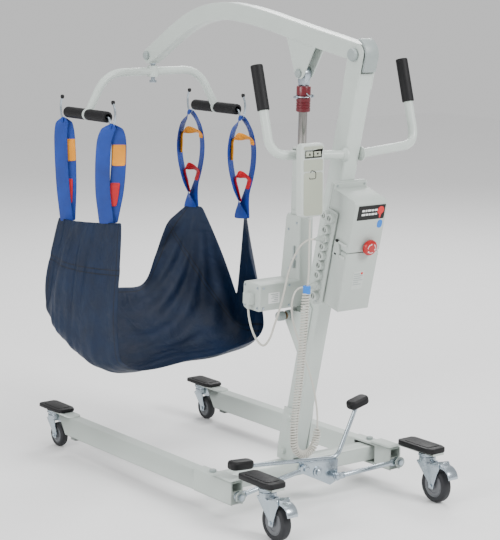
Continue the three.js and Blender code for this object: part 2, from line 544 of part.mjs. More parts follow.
const sleeveOn = (s, e) => cut(
  cylY(17, BAR_HALF - 12, s * BAR_X, HANGER_Y + e * (BAR_HALF / 2 + 0.2), BAR_Z, 16),
  cylY(9.3, 200, s * BAR_X, HANGER_Y + e * 88, BAR_Z, 12), tube(spreaderPath, TUBE_R + 0.6, 28, 10));
const hookPlaces = [['left_rear', 1, 1], ['left_front', 1, -1], ['right_rear', -1, 1], ['right_front', -1, -1]];
for (const [place, s, e] of hookPlaces) add(`bar_sleeve_${place}`, sleeveOn(s, e), foam);

// ---------------------------------------------------------------- sling and its straps
const HOOK_Y = 140;                      // strap centre, from the hanger's middle
const STRAP_WIDTH = 36;
const STRAP_THICK = 2.4;
const STRAP_SPREAD = 50;
const STRAP_LOW = 722;
const STRAP_HIGH = HOOK_BEND + HOOK_R + 3 * GAP + STRAP_THICK;

// A loop of webbing, seen along y: narrow over the hook, wide halfway, closed at the sling.
function loopPath(target, inset) {
  const r = STRAP_SPREAD - inset;
  const neck = 7 - inset * 0.5;
  const low = STRAP_LOW + 1.6 * inset;
  const high = STRAP_HIGH - inset;
  const middle = (low + high) / 2;
  target.moveTo(inset > 0 ? 1 : 4, low);
  target.bezierCurveTo(r * 0.3, low + 50, r, low + 60, r, middle);
  target.bezierCurveTo(r, high - 60, neck, high - 30, neck, high);
  target.lineTo(-neck, high);
  target.bezierCurveTo(-neck, high - 30, -r, high - 60, -r, middle);
  target.bezierCurveTo(-r, low + 60, -r * 0.3, low + 50, inset > 0 ? -1 : -4, low);
  return target;
}

const strapLoop = loopPath(new THREE.Shape(), 0);
strapLoop.holes.push(loopPath(new THREE.Path(), STRAP_THICK));
const strapTaper = outline([
  [-4, STRAP_HIGH + 5], [-4, STRAP_HIGH - 12], [-STRAP_WIDTH / 2, STRAP_HIGH - 50], [-STRAP_WIDTH / 2, STRAP_LOW - 5],
  [STRAP_WIDTH / 2, STRAP_LOW - 5], [STRAP_WIDTH / 2, STRAP_HIGH - 50], [4, STRAP_HIGH - 12], [4, STRAP_HIGH + 5],
]);
const strap4 = common(acrossY(strapLoop, STRAP_WIDTH), acrossX(strapTaper, 4 * STRAP_SPREAD));
const strapAt = (s, e) => strap4.clone().translate(s * BAR_X, HANGER_Y + e * HOOK_Y, 0);
for (const [place, s, e] of hookPlaces) add(`sling_strap_${place}`, strapAt(s, e), webbing);

// The sling: one sheet, stepped from its left top edge, down and across to its right top edge.
// Each row has its far (front), middle and near (rear) points, and the sheet curves through them.
const SLING_ROWS = [
  [[246, -1165, 716], [250, -1000, 700], [240, -800, 716]],
  [[286, -1178, 590], [288, -1000, 575], [256, -792, 590]],
  [[303, -1172, 460], [303, -1000, 430], [258, -795, 430]],
  [[285, -1165, 440], [296, -1000, 345], [240, -812, 330]],
  [[190, -1150, 462], [232, -995, 306], [196, -830, 286]],
  [[70, -1143, 476], [120, -990, 298], [120, -838, 272]],
  [[-40, -1140, 478], [0, -985, 305], [0, -830, 292]],
  [[-110, -1142, 560], [-140, -985, 325], [-140, -815, 305]],
  [[-170, -1146, 640], [-262, -990, 370], [-270, -795, 345]],
];
const SLING_COLUMNS = 10;
const SLING_THICK = 3;
const NOTCH_LOW = 441;
const PEAK_HIGH = 716;
function acrossRow([far, middle, near], v) {
  const weights = [2 * (v - 0.5) * (v - 1), -4 * v * (v - 1), 2 * v * (v - 0.5)];
  return new THREE.Vector3(...[0, 1, 2].map((k) => far[k] * weights[0] + middle[k] * weights[1] + near[k] * weights[2]));
}
const bump = (y, centre, width) => Math.exp(-(((y - centre) / width) ** 2));
const lastRow = (v) => {
  const y = -1162 + 344 * v;
  const rise = Math.max(bump(y, -1136, 62), bump(y, -866, 48));
  return new THREE.Vector3(-228 - 50 * Math.sin(Math.PI * v), y, NOTCH_LOW + (PEAK_HIGH - NOTCH_LOW) * rise);
};
const slingRows = [...SLING_ROWS.map((row) => (v) => acrossRow(row, v)), lastRow];
const slingLines = Array.from({ length: SLING_COLUMNS + 1 }, (_, j) => new THREE.CatmullRomCurve3(
  slingRows.map((row) => row(j / SLING_COLUMNS)), false, 'centripetal'));
const SLING_STEPS = 18;
function slingPoint(i, j) {
  return slingLines[j].getPoint(i / SLING_STEPS);
}
function slingNormal(i, j) {
  const i0 = Math.max(i - 1, 0);
  const i1 = Math.min(i + 1, SLING_STEPS);
  const j0 = Math.max(j - 1, 0);
  const j1 = Math.min(j + 1, SLING_COLUMNS);
  const du = slingPoint(i1, j).sub(slingPoint(i0, j));
  const dv = slingPoint(i, j1).sub(slingPoint(i, j0));
  return du.cross(dv).normalize();
}
function slingSheet() {
  const positions = [];
  const index = [];
  const count = (SLING_STEPS + 1) * (SLING_COLUMNS + 1);
  const at = (i, j, side) => side * count + i * (SLING_COLUMNS + 1) + j;
  for (const side of [0.5, -0.5]) {
    for (let i = 0; i <= SLING_STEPS; i += 1) {
      for (let j = 0; j <= SLING_COLUMNS; j += 1) {
        positions.push(...slingPoint(i, j).addScaledVector(slingNormal(i, j), side * SLING_THICK).toArray());
      }
    }
  }
  const quad = (a, b, c, d) => index.push(a, b, c, a, c, d);
  for (let i = 0; i < SLING_STEPS; i += 1) {
    for (let j = 0; j < SLING_COLUMNS; j += 1) {
      quad(at(i, j, 0), at(i + 1, j, 0), at(i + 1, j + 1, 0), at(i, j + 1, 0));
      quad(at(i, j, 1), at(i, j + 1, 1), at(i + 1, j + 1, 1), at(i + 1, j, 1));
    }
    quad(at(i, 0, 0), at(i, 0, 1), at(i + 1, 0, 1), at(i + 1, 0, 0));
    quad(at(i, SLING_COLUMNS, 0), at(i + 1, SLING_COLUMNS, 0), at(i + 1, SLING_COLUMNS, 1), at(i, SLING_COLUMNS, 1));
  }
  for (let j = 0; j < SLING_COLUMNS; j += 1) {
    quad(at(0, j, 0), at(0, j + 1, 0), at(0, j + 1, 1), at(0, j, 1));
    quad(at(SLING_STEPS, j, 0), at(SLING_STEPS, j, 1), at(SLING_STEPS, j + 1, 1), at(SLING_STEPS, j + 1, 0));
  }
  const g = new THREE.BufferGeometry();
  g.setAttribute('position', new THREE.BufferAttribute(new Float32Array(positions), 3));
  g.setIndex(index);
  return g;
}
add('sling', slingSheet(), slingCloth);

// ---------------------------------------------------------------- foot pedal and tie rods
const crankPlate = outline([
  [CRANK_LEFT.x + 10, CRANK.z + 37], [CRANK_RIGHT.x - 14, CRANK.z + 26],
  [CRANK_RIGHT.x - 12, CRANK.z + CRANK_RIGHT.z - 16], [CRANK_RIGHT.x + 14, CRANK.z + CRANK_RIGHT.z - 26],
  [CRANK_LEFT.x + 12, CRANK.z + CRANK_LEFT.z - 12],
].map(([x, z]) => [-x, z]));
const studY = (TIE_Y + CRANK.y) / 2;
const stud = (p) => cylY(6, 24, p.x, studY + 4, CRANK.z + p.z, 12);
const studHead = (p) => cylY(9, 5, p.x, TIE_Y + 3 + GAP + 2.5, CRANK.z + p.z, 6);
const ROD_Y = CRANK.y - 7;
const PAD_LEFT = { x: 258, z: 152, width: 74 };
const PAD_RIGHT = { x: -152, z: 264, width: 66 };
const rodPath = (extra) => rounded([
  [PAD_LEFT.x + 18 + extra, ROD_Y, PAD_LEFT.z], [PAD_LEFT.x - 40, ROD_Y, PAD_LEFT.z - 5], [-78, ROD_Y, 118],
  [PAD_RIGHT.x, ROD_Y, PAD_RIGHT.z + 2 + extra],
], 22);
add('pedal_crank', join(cut(join(acrossY(crankPlate, 6, CRANK.y), stud(CRANK_LEFT), stud(CRANK_RIGHT),
  studHead(CRANK_LEFT), studHead(CRANK_RIGHT)), cylY(11.7, 8, 0, CRANK.y, CRANK.z)), tube(rodPath(0), 6, 26, 8)), zinc);
const pad = (p) => cut(acrossZ(roundedRect(p.width, 36, 12, p.x, ROD_Y), 17, p.z + 2, 3), tube(rodPath(1), 6.8, 26, 8));
add('pedal_pad_left', pad(PAD_LEFT), blackPlastic);
add('pedal_pad_right', pad(PAD_RIGHT), blackPlastic);

const tieRod = (stud2, s) => {
  const inner = new THREE.Vector3(stud2.x, TIE_Y, CRANK.z + stud2.z);
  const outer = new THREE.Vector3(s * TIE_X, TIE_Y, TIE_Z);
  const line = outer.clone().sub(inner).normalize();
  const eyeAt = (p, r) => cylY(r, 6, p.x, TIE_Y, p.z, 14);
  const flat = (p, way) => {
    const far = p.clone().addScaledVector(line, way * 26);
    const side = new THREE.Vector3(line.z, 0, -line.x).multiplyScalar(9);
    return acrossY(outline([[-(p.x + side.x), p.z + side.z], [-(far.x + side.x), far.z + side.z],
      [-(far.x - side.x), far.z - side.z], [-(p.x - side.x), p.z - side.z]].map(([x, z]) => [x, z])), 6, TIE_Y);
  };
  return cut(join(
    eyeAt(inner, 12), eyeAt(outer, 14), flat(inner, 1), flat(outer, -1),
    between(inner.clone().addScaledVector(line, 22), outer.clone().addScaledVector(line, -22), 7, 12)),
  cylY(6 + GAP, 20, inner.x, TIE_Y, inner.z, 12), cylY(10.5, 20, outer.x, TIE_Y, outer.z, 14));
};
add('tie_rod_left', tieRod(CRANK_LEFT, 1), zinc);
add('tie_rod_right', tieRod(CRANK_RIGHT, -1), zinc);

// ---------------------------------------------------------------- legs
const legHollow = box(LEG_WIDTH - 6, LEG_REAR + 10 - (LEG_FRONT + 60), LEG_TOP - LEG_BOTTOM - 6,
  LEG_X, (LEG_REAR + 10 + LEG_FRONT + 60) / 2, (LEG_TOP + LEG_BOTTOM) / 2);
const legBar = cut(acrossX(outline([
  [LEG_REAR, LEG_BOTTOM], [LEG_FRONT + 40, LEG_BOTTOM], [LEG_FRONT, LEG_TOP], [LEG_REAR, LEG_TOP],
]), LEG_WIDTH, LEG_X, 2), legHollow);
const footTab = box(26, 26, 10, LEG_X, LEG_FRONT + 78, LEG_BOTTOM - 4);
const legFront = join(legBar, acrossZ(roundedRect(42, 150, 14, LEG_X, FRONT_WHEEL.pinY + 52), 5, LEG_TOP + 2 - 0.1), footTab);

const HEAD_REAR = -176;
const HEAD_TOP = LEG_TOP + 4;
const headSection = roundedRect(LEG_WIDTH + 2, HEAD_TOP - LEG_BOTTOM + 2, 4, LEG_X, (HEAD_TOP + LEG_BOTTOM - 2) / 2);
headSection.holes.push(roundedRect(LEG_WIDTH - 6, HEAD_TOP - LEG_BOTTOM - 6, 1, LEG_X, (HEAD_TOP + LEG_BOTTOM - 2) / 2));
const headLength = HEAD_REAR - LEG_REAR + 2;
const headBox = slab(headSection, headLength).rotateX(Math.PI / 2)
  .translate(0, (HEAD_REAR + LEG_REAR - 2) / 2, 0);
const crossMouth = box(30, 92, CROSS_TOP - CROSS_BOTTOM + 8, LEG_X - LEG_WIDTH / 2, LEG_PIVOT_Y, crossMiddle);
const openBelow = box(LEG_WIDTH - 6, 80, 20, LEG_X, HEAD_REAR - 30, LEG_BOTTOM);
const rearArm = acrossX(outline([
  [-262, HEAD_TOP], [-180, HEAD_TOP], [-138, REAR_COVER_TOP - 21.3], [8, REAR_COVER_TOP - 21.3],
  [8, REAR_COVER_TOP - 15.3], [-141, REAR_COVER_TOP - 15.3], [-184, HEAD_TOP + 6], [-262, HEAD_TOP + 6],
]), 40, LEG_X);
const tieLug = box(LEG_WIDTH + 2, 4, 36, LEG_X, HEAD_REAR - 2, TIE_Z - 6);
const tieBolt = join(cylY(6, 26, TIE_X, HEAD_REAR + 11, TIE_Z, 10), cylY(15, 5, TIE_X, TIE_Y + 3 + TIE_PLAY + 2.5, TIE_Z, 14));
const legHead = cut(join(cut(headBox, crossMouth, openBelow), rearArm, tieLug, tieBolt),
  cylZ(6.4, 40, LEG_X, LEG_PIVOT_Y, HEAD_TOP), cylZ(12, 20, LEG_X, LEG_PIVOT_Y, HEAD_TOP + 10),
  cylZ(6.4, 30, LEG_X, LEG_PIVOT_Y, LEG_BOTTOM));

function coverShape(y0, y1) {
  const w = COVER.width / 2;
  return new THREE.Shape([
    [-w, y0 + 12], [-w + 12, y0], [w - 12, y0], [w, y0 + 12], [w, y1 - 30], [w - 10, y1 - 4], [w - 16, y1],
    [-w + 16, y1], [-w + 10, y1 - 4], [-w, y1 - 30],
  ].map(([x, y]) => new THREE.Vector2(x + LEG_X, y)));
}
const frontCover = acrossZ(coverShape(-1200, -1080), COVER.thickness - 4, FRONT_COVER_TOP - (COVER.thickness - 4) / 2, 2);
const rearCover = acrossZ(coverShape(-129, -10), COVER.thickness, REAR_COVER_TOP - COVER.thickness / 2, 2);
for (const [side, s] of sides) {
  const place = s > 0 ? (g) => g.clone() : mirrored;
  add(`leg_${side}`, place(join(legFront, legHead)), paint);
  add(`caster_cover_front_${side}`, place(frontCover), blackPlastic);
  add(`caster_cover_rear_${side}`, place(rearCover), blackPlastic);
}

// ---------------------------------------------------------------- casters
function wheelProfile(radius, width) {
  const half = width / 2;
  return [[4.3, -half - 2], [9, -half - 2], [9, -half + 3], [radius * 0.7, -half + 3], [radius * 0.7, -half],
    [radius - 5, -half], [radius, -half + 6], [radius, half - 6], [radius - 5, half],
    [radius * 0.7, half], [radius * 0.7, half - 3], [9, half - 3], [9, half + 2], [4.3, half + 2], [4.3, -half - 2]];
}
function fork(spec, low, x) {
  const half = spec.width / 2 + 3.5;
  const crown = low - 8;
  const plates = outline([
    [spec.pinY - 22, crown], [spec.pinY + 22, crown], ...spec.bracket,
    [spec.axleY + 12, spec.radius + 6], [spec.axleY + 9, spec.radius - 9], [spec.axleY - 9, spec.radius - 9],
    [spec.axleY - 12, spec.radius + 8],
  ]);
  const cheeks = [1, -1].map((s) => acrossX(plates, 3, x + s * (half + 1.5)));
  const brakePin = spec.bracket.length ? [cylX(3.5, 2 * half + 8, x, BRAKE_PIN.y, BRAKE_PIN.z, 10)] : [];
  return join(...cheeks, ...brakePin, box(2 * half + 6, 44, 3.5, x, spec.pinY, crown + 1.75),
    cylZ(24, low - crown + 8, x, spec.pinY, (low + crown + 8) / 2, 14),
    cylX(4, 2 * half + 12, x, spec.axleY, spec.radius));
}
for (const [side, s] of sides) {
  for (const [end, spec, low, high] of [
    ['front', FRONT_WHEEL, 90, LEG_TOP - 1], ['rear', REAR_WHEEL, 116, REAR_COVER_TOP - 22]]) {
    const x = s * LEG_X;
    const swivel = cylZ(20, high - low - 8 - GAP, x, spec.pinY, (high + low + 8 - GAP) / 2, 14);
    add(`caster_fork_${end}_${side}`, join(fork(spec, low, x), swivel), zinc);
    add(`caster_wheel_${end}_${side}`, turnedX(wheelProfile(spec.radius, spec.width), x, spec.axleY, spec.radius, 16), tyreGrey);
  }
}
const brakeLever = cut(acrossX(outline([
  [BRAKE_PIN.y - 7, BRAKE_PIN.z + 5], [BRAKE_PIN.y - 6, BRAKE_PIN.z - 6], [BRAKE_PIN.y + 12, BRAKE_PIN.z - 5],
  [58, 99], [68, 86], [71, 87], [62, 103], [BRAKE_PIN.y + 14, BRAKE_PIN.z + 5], [BRAKE_PIN.y, BRAKE_PIN.z + 7],
]), 34, 0), cylX(3.9, 50, 0, BRAKE_PIN.y, BRAKE_PIN.z, 10));
for (const [side, s] of sides) {
  add(`brake_pedal_${side}`, brakeLever.clone().translate(s * LEG_X, 0, 0), zinc);
}

// ---------------------------------------------------------------- the origin, below the middle
const extent = new THREE.Box3().setFromObject(hoist);
const middle = (extent.min.y + extent.max.y) / 2;
hoist.position.y = -middle;

export default hoist;
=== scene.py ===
# Mobile patient lift hoist: the finished look of each piece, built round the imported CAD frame.
import bpy
import bmesh
import json
import math
from mathutils import Vector, Matrix, noise


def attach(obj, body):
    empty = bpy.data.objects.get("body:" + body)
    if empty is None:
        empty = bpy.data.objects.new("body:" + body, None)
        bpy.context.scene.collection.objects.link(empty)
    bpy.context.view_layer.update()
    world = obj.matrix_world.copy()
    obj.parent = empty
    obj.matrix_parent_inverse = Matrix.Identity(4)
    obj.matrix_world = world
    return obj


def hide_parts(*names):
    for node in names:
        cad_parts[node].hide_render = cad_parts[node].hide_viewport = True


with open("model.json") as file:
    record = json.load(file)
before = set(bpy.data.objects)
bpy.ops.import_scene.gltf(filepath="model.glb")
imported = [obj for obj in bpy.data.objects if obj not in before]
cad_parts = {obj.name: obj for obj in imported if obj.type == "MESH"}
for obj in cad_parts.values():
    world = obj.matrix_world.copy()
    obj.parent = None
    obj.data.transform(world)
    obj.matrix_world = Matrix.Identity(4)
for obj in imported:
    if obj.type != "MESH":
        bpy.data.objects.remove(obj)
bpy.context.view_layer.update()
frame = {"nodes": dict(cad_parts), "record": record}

# ---------------- frames of the hoist, all lengths in millimetres
MIDDLE = 564.5                      # the rear wheels' contact line, behind the middle of the footprint
MAST_LEAN = math.radians(14.4)
MAST_FOOT = (-232, 255)             # y and z, on the mast's rear face
ACTUATOR_FOOT = (-279, 527)         # y and z of the actuator's lower bolt
ACTUATOR_LEAN = math.atan2(27, 670)
HOIST = Matrix.Scale(0.001, 4) @ Matrix.Translation((0, MIDDLE, 0))
MAST = HOIST @ Matrix.Translation((0, *MAST_FOOT)) @ Matrix.Rotation(-MAST_LEAN, 4, "X")
ACTUATOR = HOIST @ Matrix.Translation((0, *ACTUATOR_FOOT)) @ Matrix.Rotation(-ACTUATOR_LEAN, 4, "X")
SIDES = (("left", 1), ("right", -1))


def metres(point):
    return HOIST @ Vector(point)


def linked(name, data):
    """A new object in the scene."""
    made = bpy.data.objects.new(name, data)
    bpy.context.collection.objects.link(made)
    return made


def mesh_of(name, bm):
    mesh = bpy.data.meshes.new(name)
    bm.to_mesh(mesh)
    bm.free()
    return mesh


# ---------------- camera
eye = linked("camera", bpy.data.cameras.new("camera"))
eye.location = (2.915, 4.0365, 1.491)
eye.rotation_euler = Vector((-0.5825, -0.7938, -0.1742)).to_track_quat("-Z", "Y").to_euler()
eye.data.lens = 115.6
eye.data.sensor_width = 36
eye.data.clip_end = 50
bpy.context.scene.camera = eye


# ---------------- finishes
def node(tree, kind, **values):
    """A shader node with some of its inputs set."""
    made = tree.nodes.new("ShaderNode" + kind)
    for name, value in values.items():
        made.inputs[name.replace("_", " ").title()].default_value = value
    return made


def sum_of(tree, operation, first, second):
    """The output of a maths node that joins two values."""
    made = node(tree, "Math")
    made.operation = operation
    tree.links.new(first, made.inputs[0])
    tree.links.new(second, made.inputs[1])
    return made.outputs["Value"]


def finish(name, colour, rough, metal=0.0, mottle=0.04, mottle_size=9.0, grain=0.1, grain_size=700.0,
           coat=0.0, sheen=0.0):
    """A finish whose colour and gloss wander a little, with a fine surface grain."""
    made = bpy.data.materials.new(name)
    made.use_nodes = True
    tree = made.node_tree
    join = tree.links.new
    shader = tree.nodes["Principled BSDF"]
    for socket, value in (("Metallic", metal), ("Coat Weight", coat), ("Coat Roughness", 0.2),
                          ("Sheen Weight", sheen), ("Sheen Roughness", 0.4)):
        shader.inputs[socket].default_value = value
    if metal == 0 and max(colour) < 0.05:
        shader.inputs["Specular IOR Level"].default_value = 0.3
    where = node(tree, "TexCoord").outputs["Object"]
    cloud = node(tree, "TexNoise", scale=mottle_size, detail=6)
    join(where, cloud.inputs["Vector"])
    ramp = node(tree, "ValToRGB")
    darkest, lightest = ramp.color_ramp.elements
    darkest.position, lightest.position = 0.3, 0.7
    darkest.color = (*[c * (1 - mottle) for c in colour], 1)
    lightest.color = (*[min(1, c * (1 + mottle)) for c in colour], 1)
    join(cloud.outputs["Fac"], ramp.inputs["Fac"])
    join(ramp.outputs["Color"], shader.inputs["Base Color"])
    gloss = node(tree, "MapRange", to_min=rough * 0.86, to_max=min(1, rough * 1.14))
    join(cloud.outputs["Fac"], gloss.inputs["Value"])
    join(gloss.outputs["Result"], shader.inputs["Roughness"])
    fine = node(tree, "TexNoise", scale=grain_size, detail=3)
    join(where, fine.inputs["Vector"])
    bump = node(tree, "Bump", strength=grain, distance=0.0004)
    join(fine.outputs["Fac"], bump.inputs["Height"])
    join(bump.outputs["Normal"], shader.inputs["Normal"])
    return made


def seam_lines(tree, laid, seams):
    """1 on every seam, given as the way across it, its place and half its width in metres."""
    apart = node(tree, "SeparateXYZ")
    tree.links.new(laid.outputs["UV"], apart.inputs["Vector"])
    mask = None
    for way, place, half in seams:
        line = node(tree, "Math")
        line.operation = "COMPARE"
        line.inputs[1].default_value = place
        line.inputs[2].default_value = half
        tree.links.new(apart.outputs[way], line.inputs[0])
        on_line = line.outputs["Value"]
        mask = on_line if mask is None else sum_of(tree, "MAXIMUM", mask, on_line)
    return mask


def woven(name, colour, light, thread=420.0, across=420.0, rough=0.75, sheen=0.4, wrinkle=0.25, seams=()):
    """Cloth whose weave follows the piece's own UV map, laid out in metres."""
    made = finish(name, colour, rough, mottle=0.22, mottle_size=14, grain=0.0, sheen=sheen)
    tree = made.node_tree
    join = tree.links.new
    shader = tree.nodes["Principled BSDF"]
    shader.inputs["Sheen Tint"].default_value = (*light, 1)
    laid = node(tree, "UVMap")
    laid.uv_map = "cloth"
    waves = []
    for direction, count in (("X", across), ("Y", thread)):
        wave = node(tree, "TexWave", scale=count)
        wave.bands_direction = direction
        join(laid.outputs["UV"], wave.inputs["Vector"])
        waves.append(wave.outputs["Fac"])
    height = sum_of(tree, "MULTIPLY", *waves)
    if seams:
        mask = seam_lines(tree, laid, seams)
        tint = node(tree, "Mix")
        tint.data_type = "RGBA"
        join(mask, tint.inputs["Factor"])
        join(shader.inputs["Base Color"].links[0].from_socket, tint.inputs["A"])
        tint.inputs["B"].default_value = (*[c * 0.25 for c in colour], 1)
        join(tint.outputs["Result"], shader.inputs["Base Color"])
        height = sum_of(tree, "SUBTRACT", height, mask)
    weave = node(tree, "Bump", strength=0.35, distance=0.0005)
    join(height, weave.inputs["Height"])
    crease = node(tree, "TexNoise", scale=26.0, detail=7, distortion=0.6)
    where = next(n for n in tree.nodes if n.bl_idname == "ShaderNodeTexCoord")
    join(where.outputs["Object"], crease.inputs["Vector"])
    fold = node(tree, "Bump", strength=wrinkle, distance=0.006)
    join(crease.outputs["Fac"], fold.inputs["Height"])
    join(weave.outputs["Normal"], fold.inputs["Normal"])
    join(fold.outputs["Normal"], shader.inputs["Normal"])
    return made


PAINT = finish("powder_coat", (0.50, 0.555, 0.52), 0.36, mottle=0.02, grain=0.12, grain_size=900, coat=0.1)
ZINC = finish("zinc_plate", (0.40, 0.46, 0.51), 0.27, metal=0.95, mottle=0.05, mottle_size=18, grain=0.08,
              grain_size=500)
CHROME = finish("chrome_rod", (0.34, 0.325, 0.31), 0.12, metal=1.0, mottle=0.05, mottle_size=60, grain=0.02,
                grain_size=900)
BOLT_CAP = finish("bolt_cap", (0.29, 0.335, 0.33), 0.42, mottle=0.06, grain=0.1)
BLACK = finish("black_moulding", (0.004, 0.004, 0.005), 0.5, mottle=0.2, mottle_size=40, grain=0.35,
               grain_size=1400)
FOAM = finish("black_foam", (0.004, 0.004, 0.005), 0.6, mottle=0.25, mottle_size=60, grain=0.5, grain_size=1100)
TYRE = finish("tyre_rubber", (0.022, 0.023, 0.026), 0.6, mottle=0.12, mottle_size=40, grain=0.3,
              grain_size=1100)
HUB = finish("wheel_hub", (0.11, 0.115, 0.125), 0.5, mottle=0.08, mottle_size=40, grain=0.25, grain_size=900)
CASE = finish("case_plastic", (0.44, 0.485, 0.455), 0.46, mottle=0.02, grain=0.22, grain_size=1500)
RIM = finish("handset_rim", (0.49, 0.53, 0.50), 0.4, mottle=0.02, grain=0.15, grain_size=1500)
PANEL = finish("handset_panel", (0.36, 0.385, 0.31), 0.5, mottle=0.03, grain=0.15, grain_size=1500)
CORD = finish("cord_sheath", (0.50, 0.49, 0.44), 0.42, mottle=0.04, mottle_size=40, grain=0.1, grain_size=900)
RED = finish("stop_red", (0.38, 0.0, 0.002), 0.3, mottle=0.05, grain=0.05, coat=0.1)
SLEEVE_RED = finish("sleeve_red", (0.11, 0.0, 0.006), 0.36, mottle=0.12, mottle_size=30, grain=0.1, coat=0.3)
PRINT = finish("print_black", (0.004, 0.004, 0.004), 0.45, mottle=0.1, grain=0.1)
PRINT_LIGHT = finish("print_light", (0.75, 0.76, 0.75), 0.5, mottle=0.03, grain=0.1)
PRINT_BLUE = finish("print_blue", (0.0, 0.16, 0.60), 0.4, mottle=0.05, grain=0.1)
PRINT_RED = finish("print_red", (0.60, 0.0, 0.004), 0.4, mottle=0.05, grain=0.1)
BRASS = finish("bronze_bush", (0.22, 0.14, 0.07), 0.4, metal=0.6, mottle=0.2, mottle_size=60)
# Painted shade: a near-black finish for the discs laid in the bottom of the open sockets, standing in for the
# shadow inside each hole.
SOCKET_SHADE = finish("painted_socket_shade", (0.01, 0.01, 0.011), 0.8, mottle=0.1, grain=0.1)
CLOTH = woven("sling_cloth", (0.0006, 0.0095, 0.034), (0.08, 0.22, 0.42), rough=0.48, sheen=0.02, wrinkle=0.6,
              seams=(("X", 0.128, 0.0016), ("X", 0.141, 0.0016), ("X", 1.12, 0.0016), ("X", 1.132, 0.0016),
                     ("Y", 0.013, 0.0012), ("Y", 0.407, 0.0012)))


def webbing(name, colour, light, rough):
    return woven(name, colour, light, thread=500, across=160, rough=rough, sheen=0.04, wrinkle=0.1)


BLUE_WEB = webbing("blue_webbing", (0.0, 0.032, 0.25), (0.15, 0.35, 0.9), 0.55)
GOLD_WEB = webbing("yellow_webbing", (0.72, 0.265, 0.0), (1.0, 0.7, 0.2), 0.6)
RED_WEB = webbing("red_webbing", (0.50, 0.0, 0.008), (1.0, 0.3, 0.3), 0.6)


# ---------------- making and placing pieces
def piece(name, bm, material, body, where=HOIST, stands_for=(), sharp=35):
    """Puts a bmesh, made in millimetres in one of the frames, on a CAD body."""
    bmesh.ops.transform(bm, matrix=where, verts=bm.verts)
    mesh = mesh_of(name, bm)
    mesh.materials.append(material)
    mesh.shade_smooth()
    mesh.set_sharp_from_angle(angle=math.radians(sharp))
    obj = linked(name, mesh)
    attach(obj, body)
    if stands_for:
        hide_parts(*stands_for)
    return obj


def on_case(name, bm, material, stands_for=()):
    """A piece of the control unit, made in the mast's frame."""
    return piece(name, bm, material, "chassis", MAST, stands_for)


def on_actuator(name, bm, material, body="actuator_body", stands_for=()):
    return piece(name, bm, material, body, ACTUATOR, stands_for)


def soften(bm, width, steps=2, angle=30):
    """Edges between two faces that meet at more than an angle, rounded over."""
    edges = [e for e in bm.edges if len(e.link_faces) == 2 and e.calc_face_angle(0) > math.radians(angle)]
    bmesh.ops.bevel(bm, geom=edges, offset=width, offset_type="OFFSET", affect="EDGES", segments=steps,
                    profile=0.5, material=-1, clamp_overlap=True)
    return bm


LAY = {"X": lambda a, b, c: (c, a, b), "Y": lambda a, b, c: (a, c, b), "Z": lambda a, b, c: (a, b, c)}
AXIS = {"X": Vector((1, 0, 0)), "Y": Vector((0, 1, 0)), "Z": Vector((0, 0, 1))}


def prism(outline, thickness, axis, middle=0.0, edge=0.0, steps=2):
    """An outline in the other two axes, in their order, thickened along this axis."""
    bm = bmesh.new()
    lay = LAY[axis]
    face = bm.faces.new([bm.verts.new(lay(a, b, middle - thickness / 2)) for a, b in outline])
    grown = bmesh.ops.extrude_face_region(bm, geom=[face])
    raised = [v for v in grown["geom"] if isinstance(v, bmesh.types.BMVert)]
    bmesh.ops.translate(bm, verts=raised, vec=lay(0, 0, thickness))
    bmesh.ops.recalc_face_normals(bm, faces=bm.faces)
    return soften(bm, edge, steps) if edge else bm


def arc(radius, start, stop, steps, centre=(0, 0)):
    """Points of an arc from one angle to another, in degrees."""
    angles = [math.radians(start + (stop - start) * i / steps) for i in range(steps + 1)]
    return [(centre[0] + radius * math.cos(a), centre[1] + radius * math.sin(a)) for a in angles]


def rounded(w, h, r, x=0.0, y=0.0, steps=5):
    """A rectangle with round corners about a middle."""
    points = []
    for corner, (sx, sy) in enumerate(((1, -1), (1, 1), (-1, 1), (-1, -1))):
        centre = (x + sx * (w / 2 - r), y + sy * (h / 2 - r))
        points += arc(r, 90 * (corner - 1), 90 * corner, steps, centre)
    return points


def turned(profile, axis, centre=(0, 0, 0), steps=40, ring=False):
    """A profile of (radius, place along the axis) turned about the axis through the centre."""
    bm = bmesh.new()
    along = AXIS[axis]
    out = AXIS["Z" if axis != "Z" else "X"]
    verts = [bm.verts.new(Vector(centre) + along * a + out * r) for r, a in profile]
    pairs = list(zip(verts, verts[1:])) + ([(verts[-1], verts[0])] if ring else [])
    edges = [bm.edges.new(pair) for pair in pairs]
    bmesh.ops.spin(bm, geom=verts + edges, cent=centre, axis=along, angle=2 * math.pi, steps=steps,
                   use_merge=True)
    bmesh.ops.remove_doubles(bm, verts=bm.verts, dist=0.001)
    bmesh.ops.recalc_face_normals(bm, faces=bm.faces)
    return bm


def together(*shapes):
    """Several shapes as one bmesh."""
    first = shapes[0]
    for other in shapes[1:]:
        passing = mesh_of("passing", other)
        first.from_mesh(passing)
        bpy.data.meshes.remove(passing)
    return first


def reflected(bm):
    """The other side's copy of a shape."""
    other = bm.copy()
    bmesh.ops.scale(other, vec=(-1, 1, 1), verts=other.verts)
    bmesh.ops.reverse_faces(other, faces=other.faces)
    return other


def both_sides(bm):
    return together(bm, reflected(bm))


def disc(radius, low, high, axis, centre, steps=40):
    return turned([(0, low), (radius, low), (radius, high), (0, high)], axis, centre, steps)


def bend(points, radius, steps=8):
    """Corner points joined by straights, with each inner corner rounded."""
    p = [Vector(q) for q in points]
    route = [p[0]]
    for before, corner, after in zip(p, p[1:], p[2:]):
        reach = min(radius, (corner - before).length * 0.48, (corner - after).length * 0.48)
        enter = corner + (before - corner).normalized() * reach
        leave = corner + (after - corner).normalized() * reach
        for i in range(steps + 1):
            t = i / steps
            route.append(enter * (1 - t) ** 2 + corner * 2 * t * (1 - t) + leave * t * t)
    return route + [p[-1]]


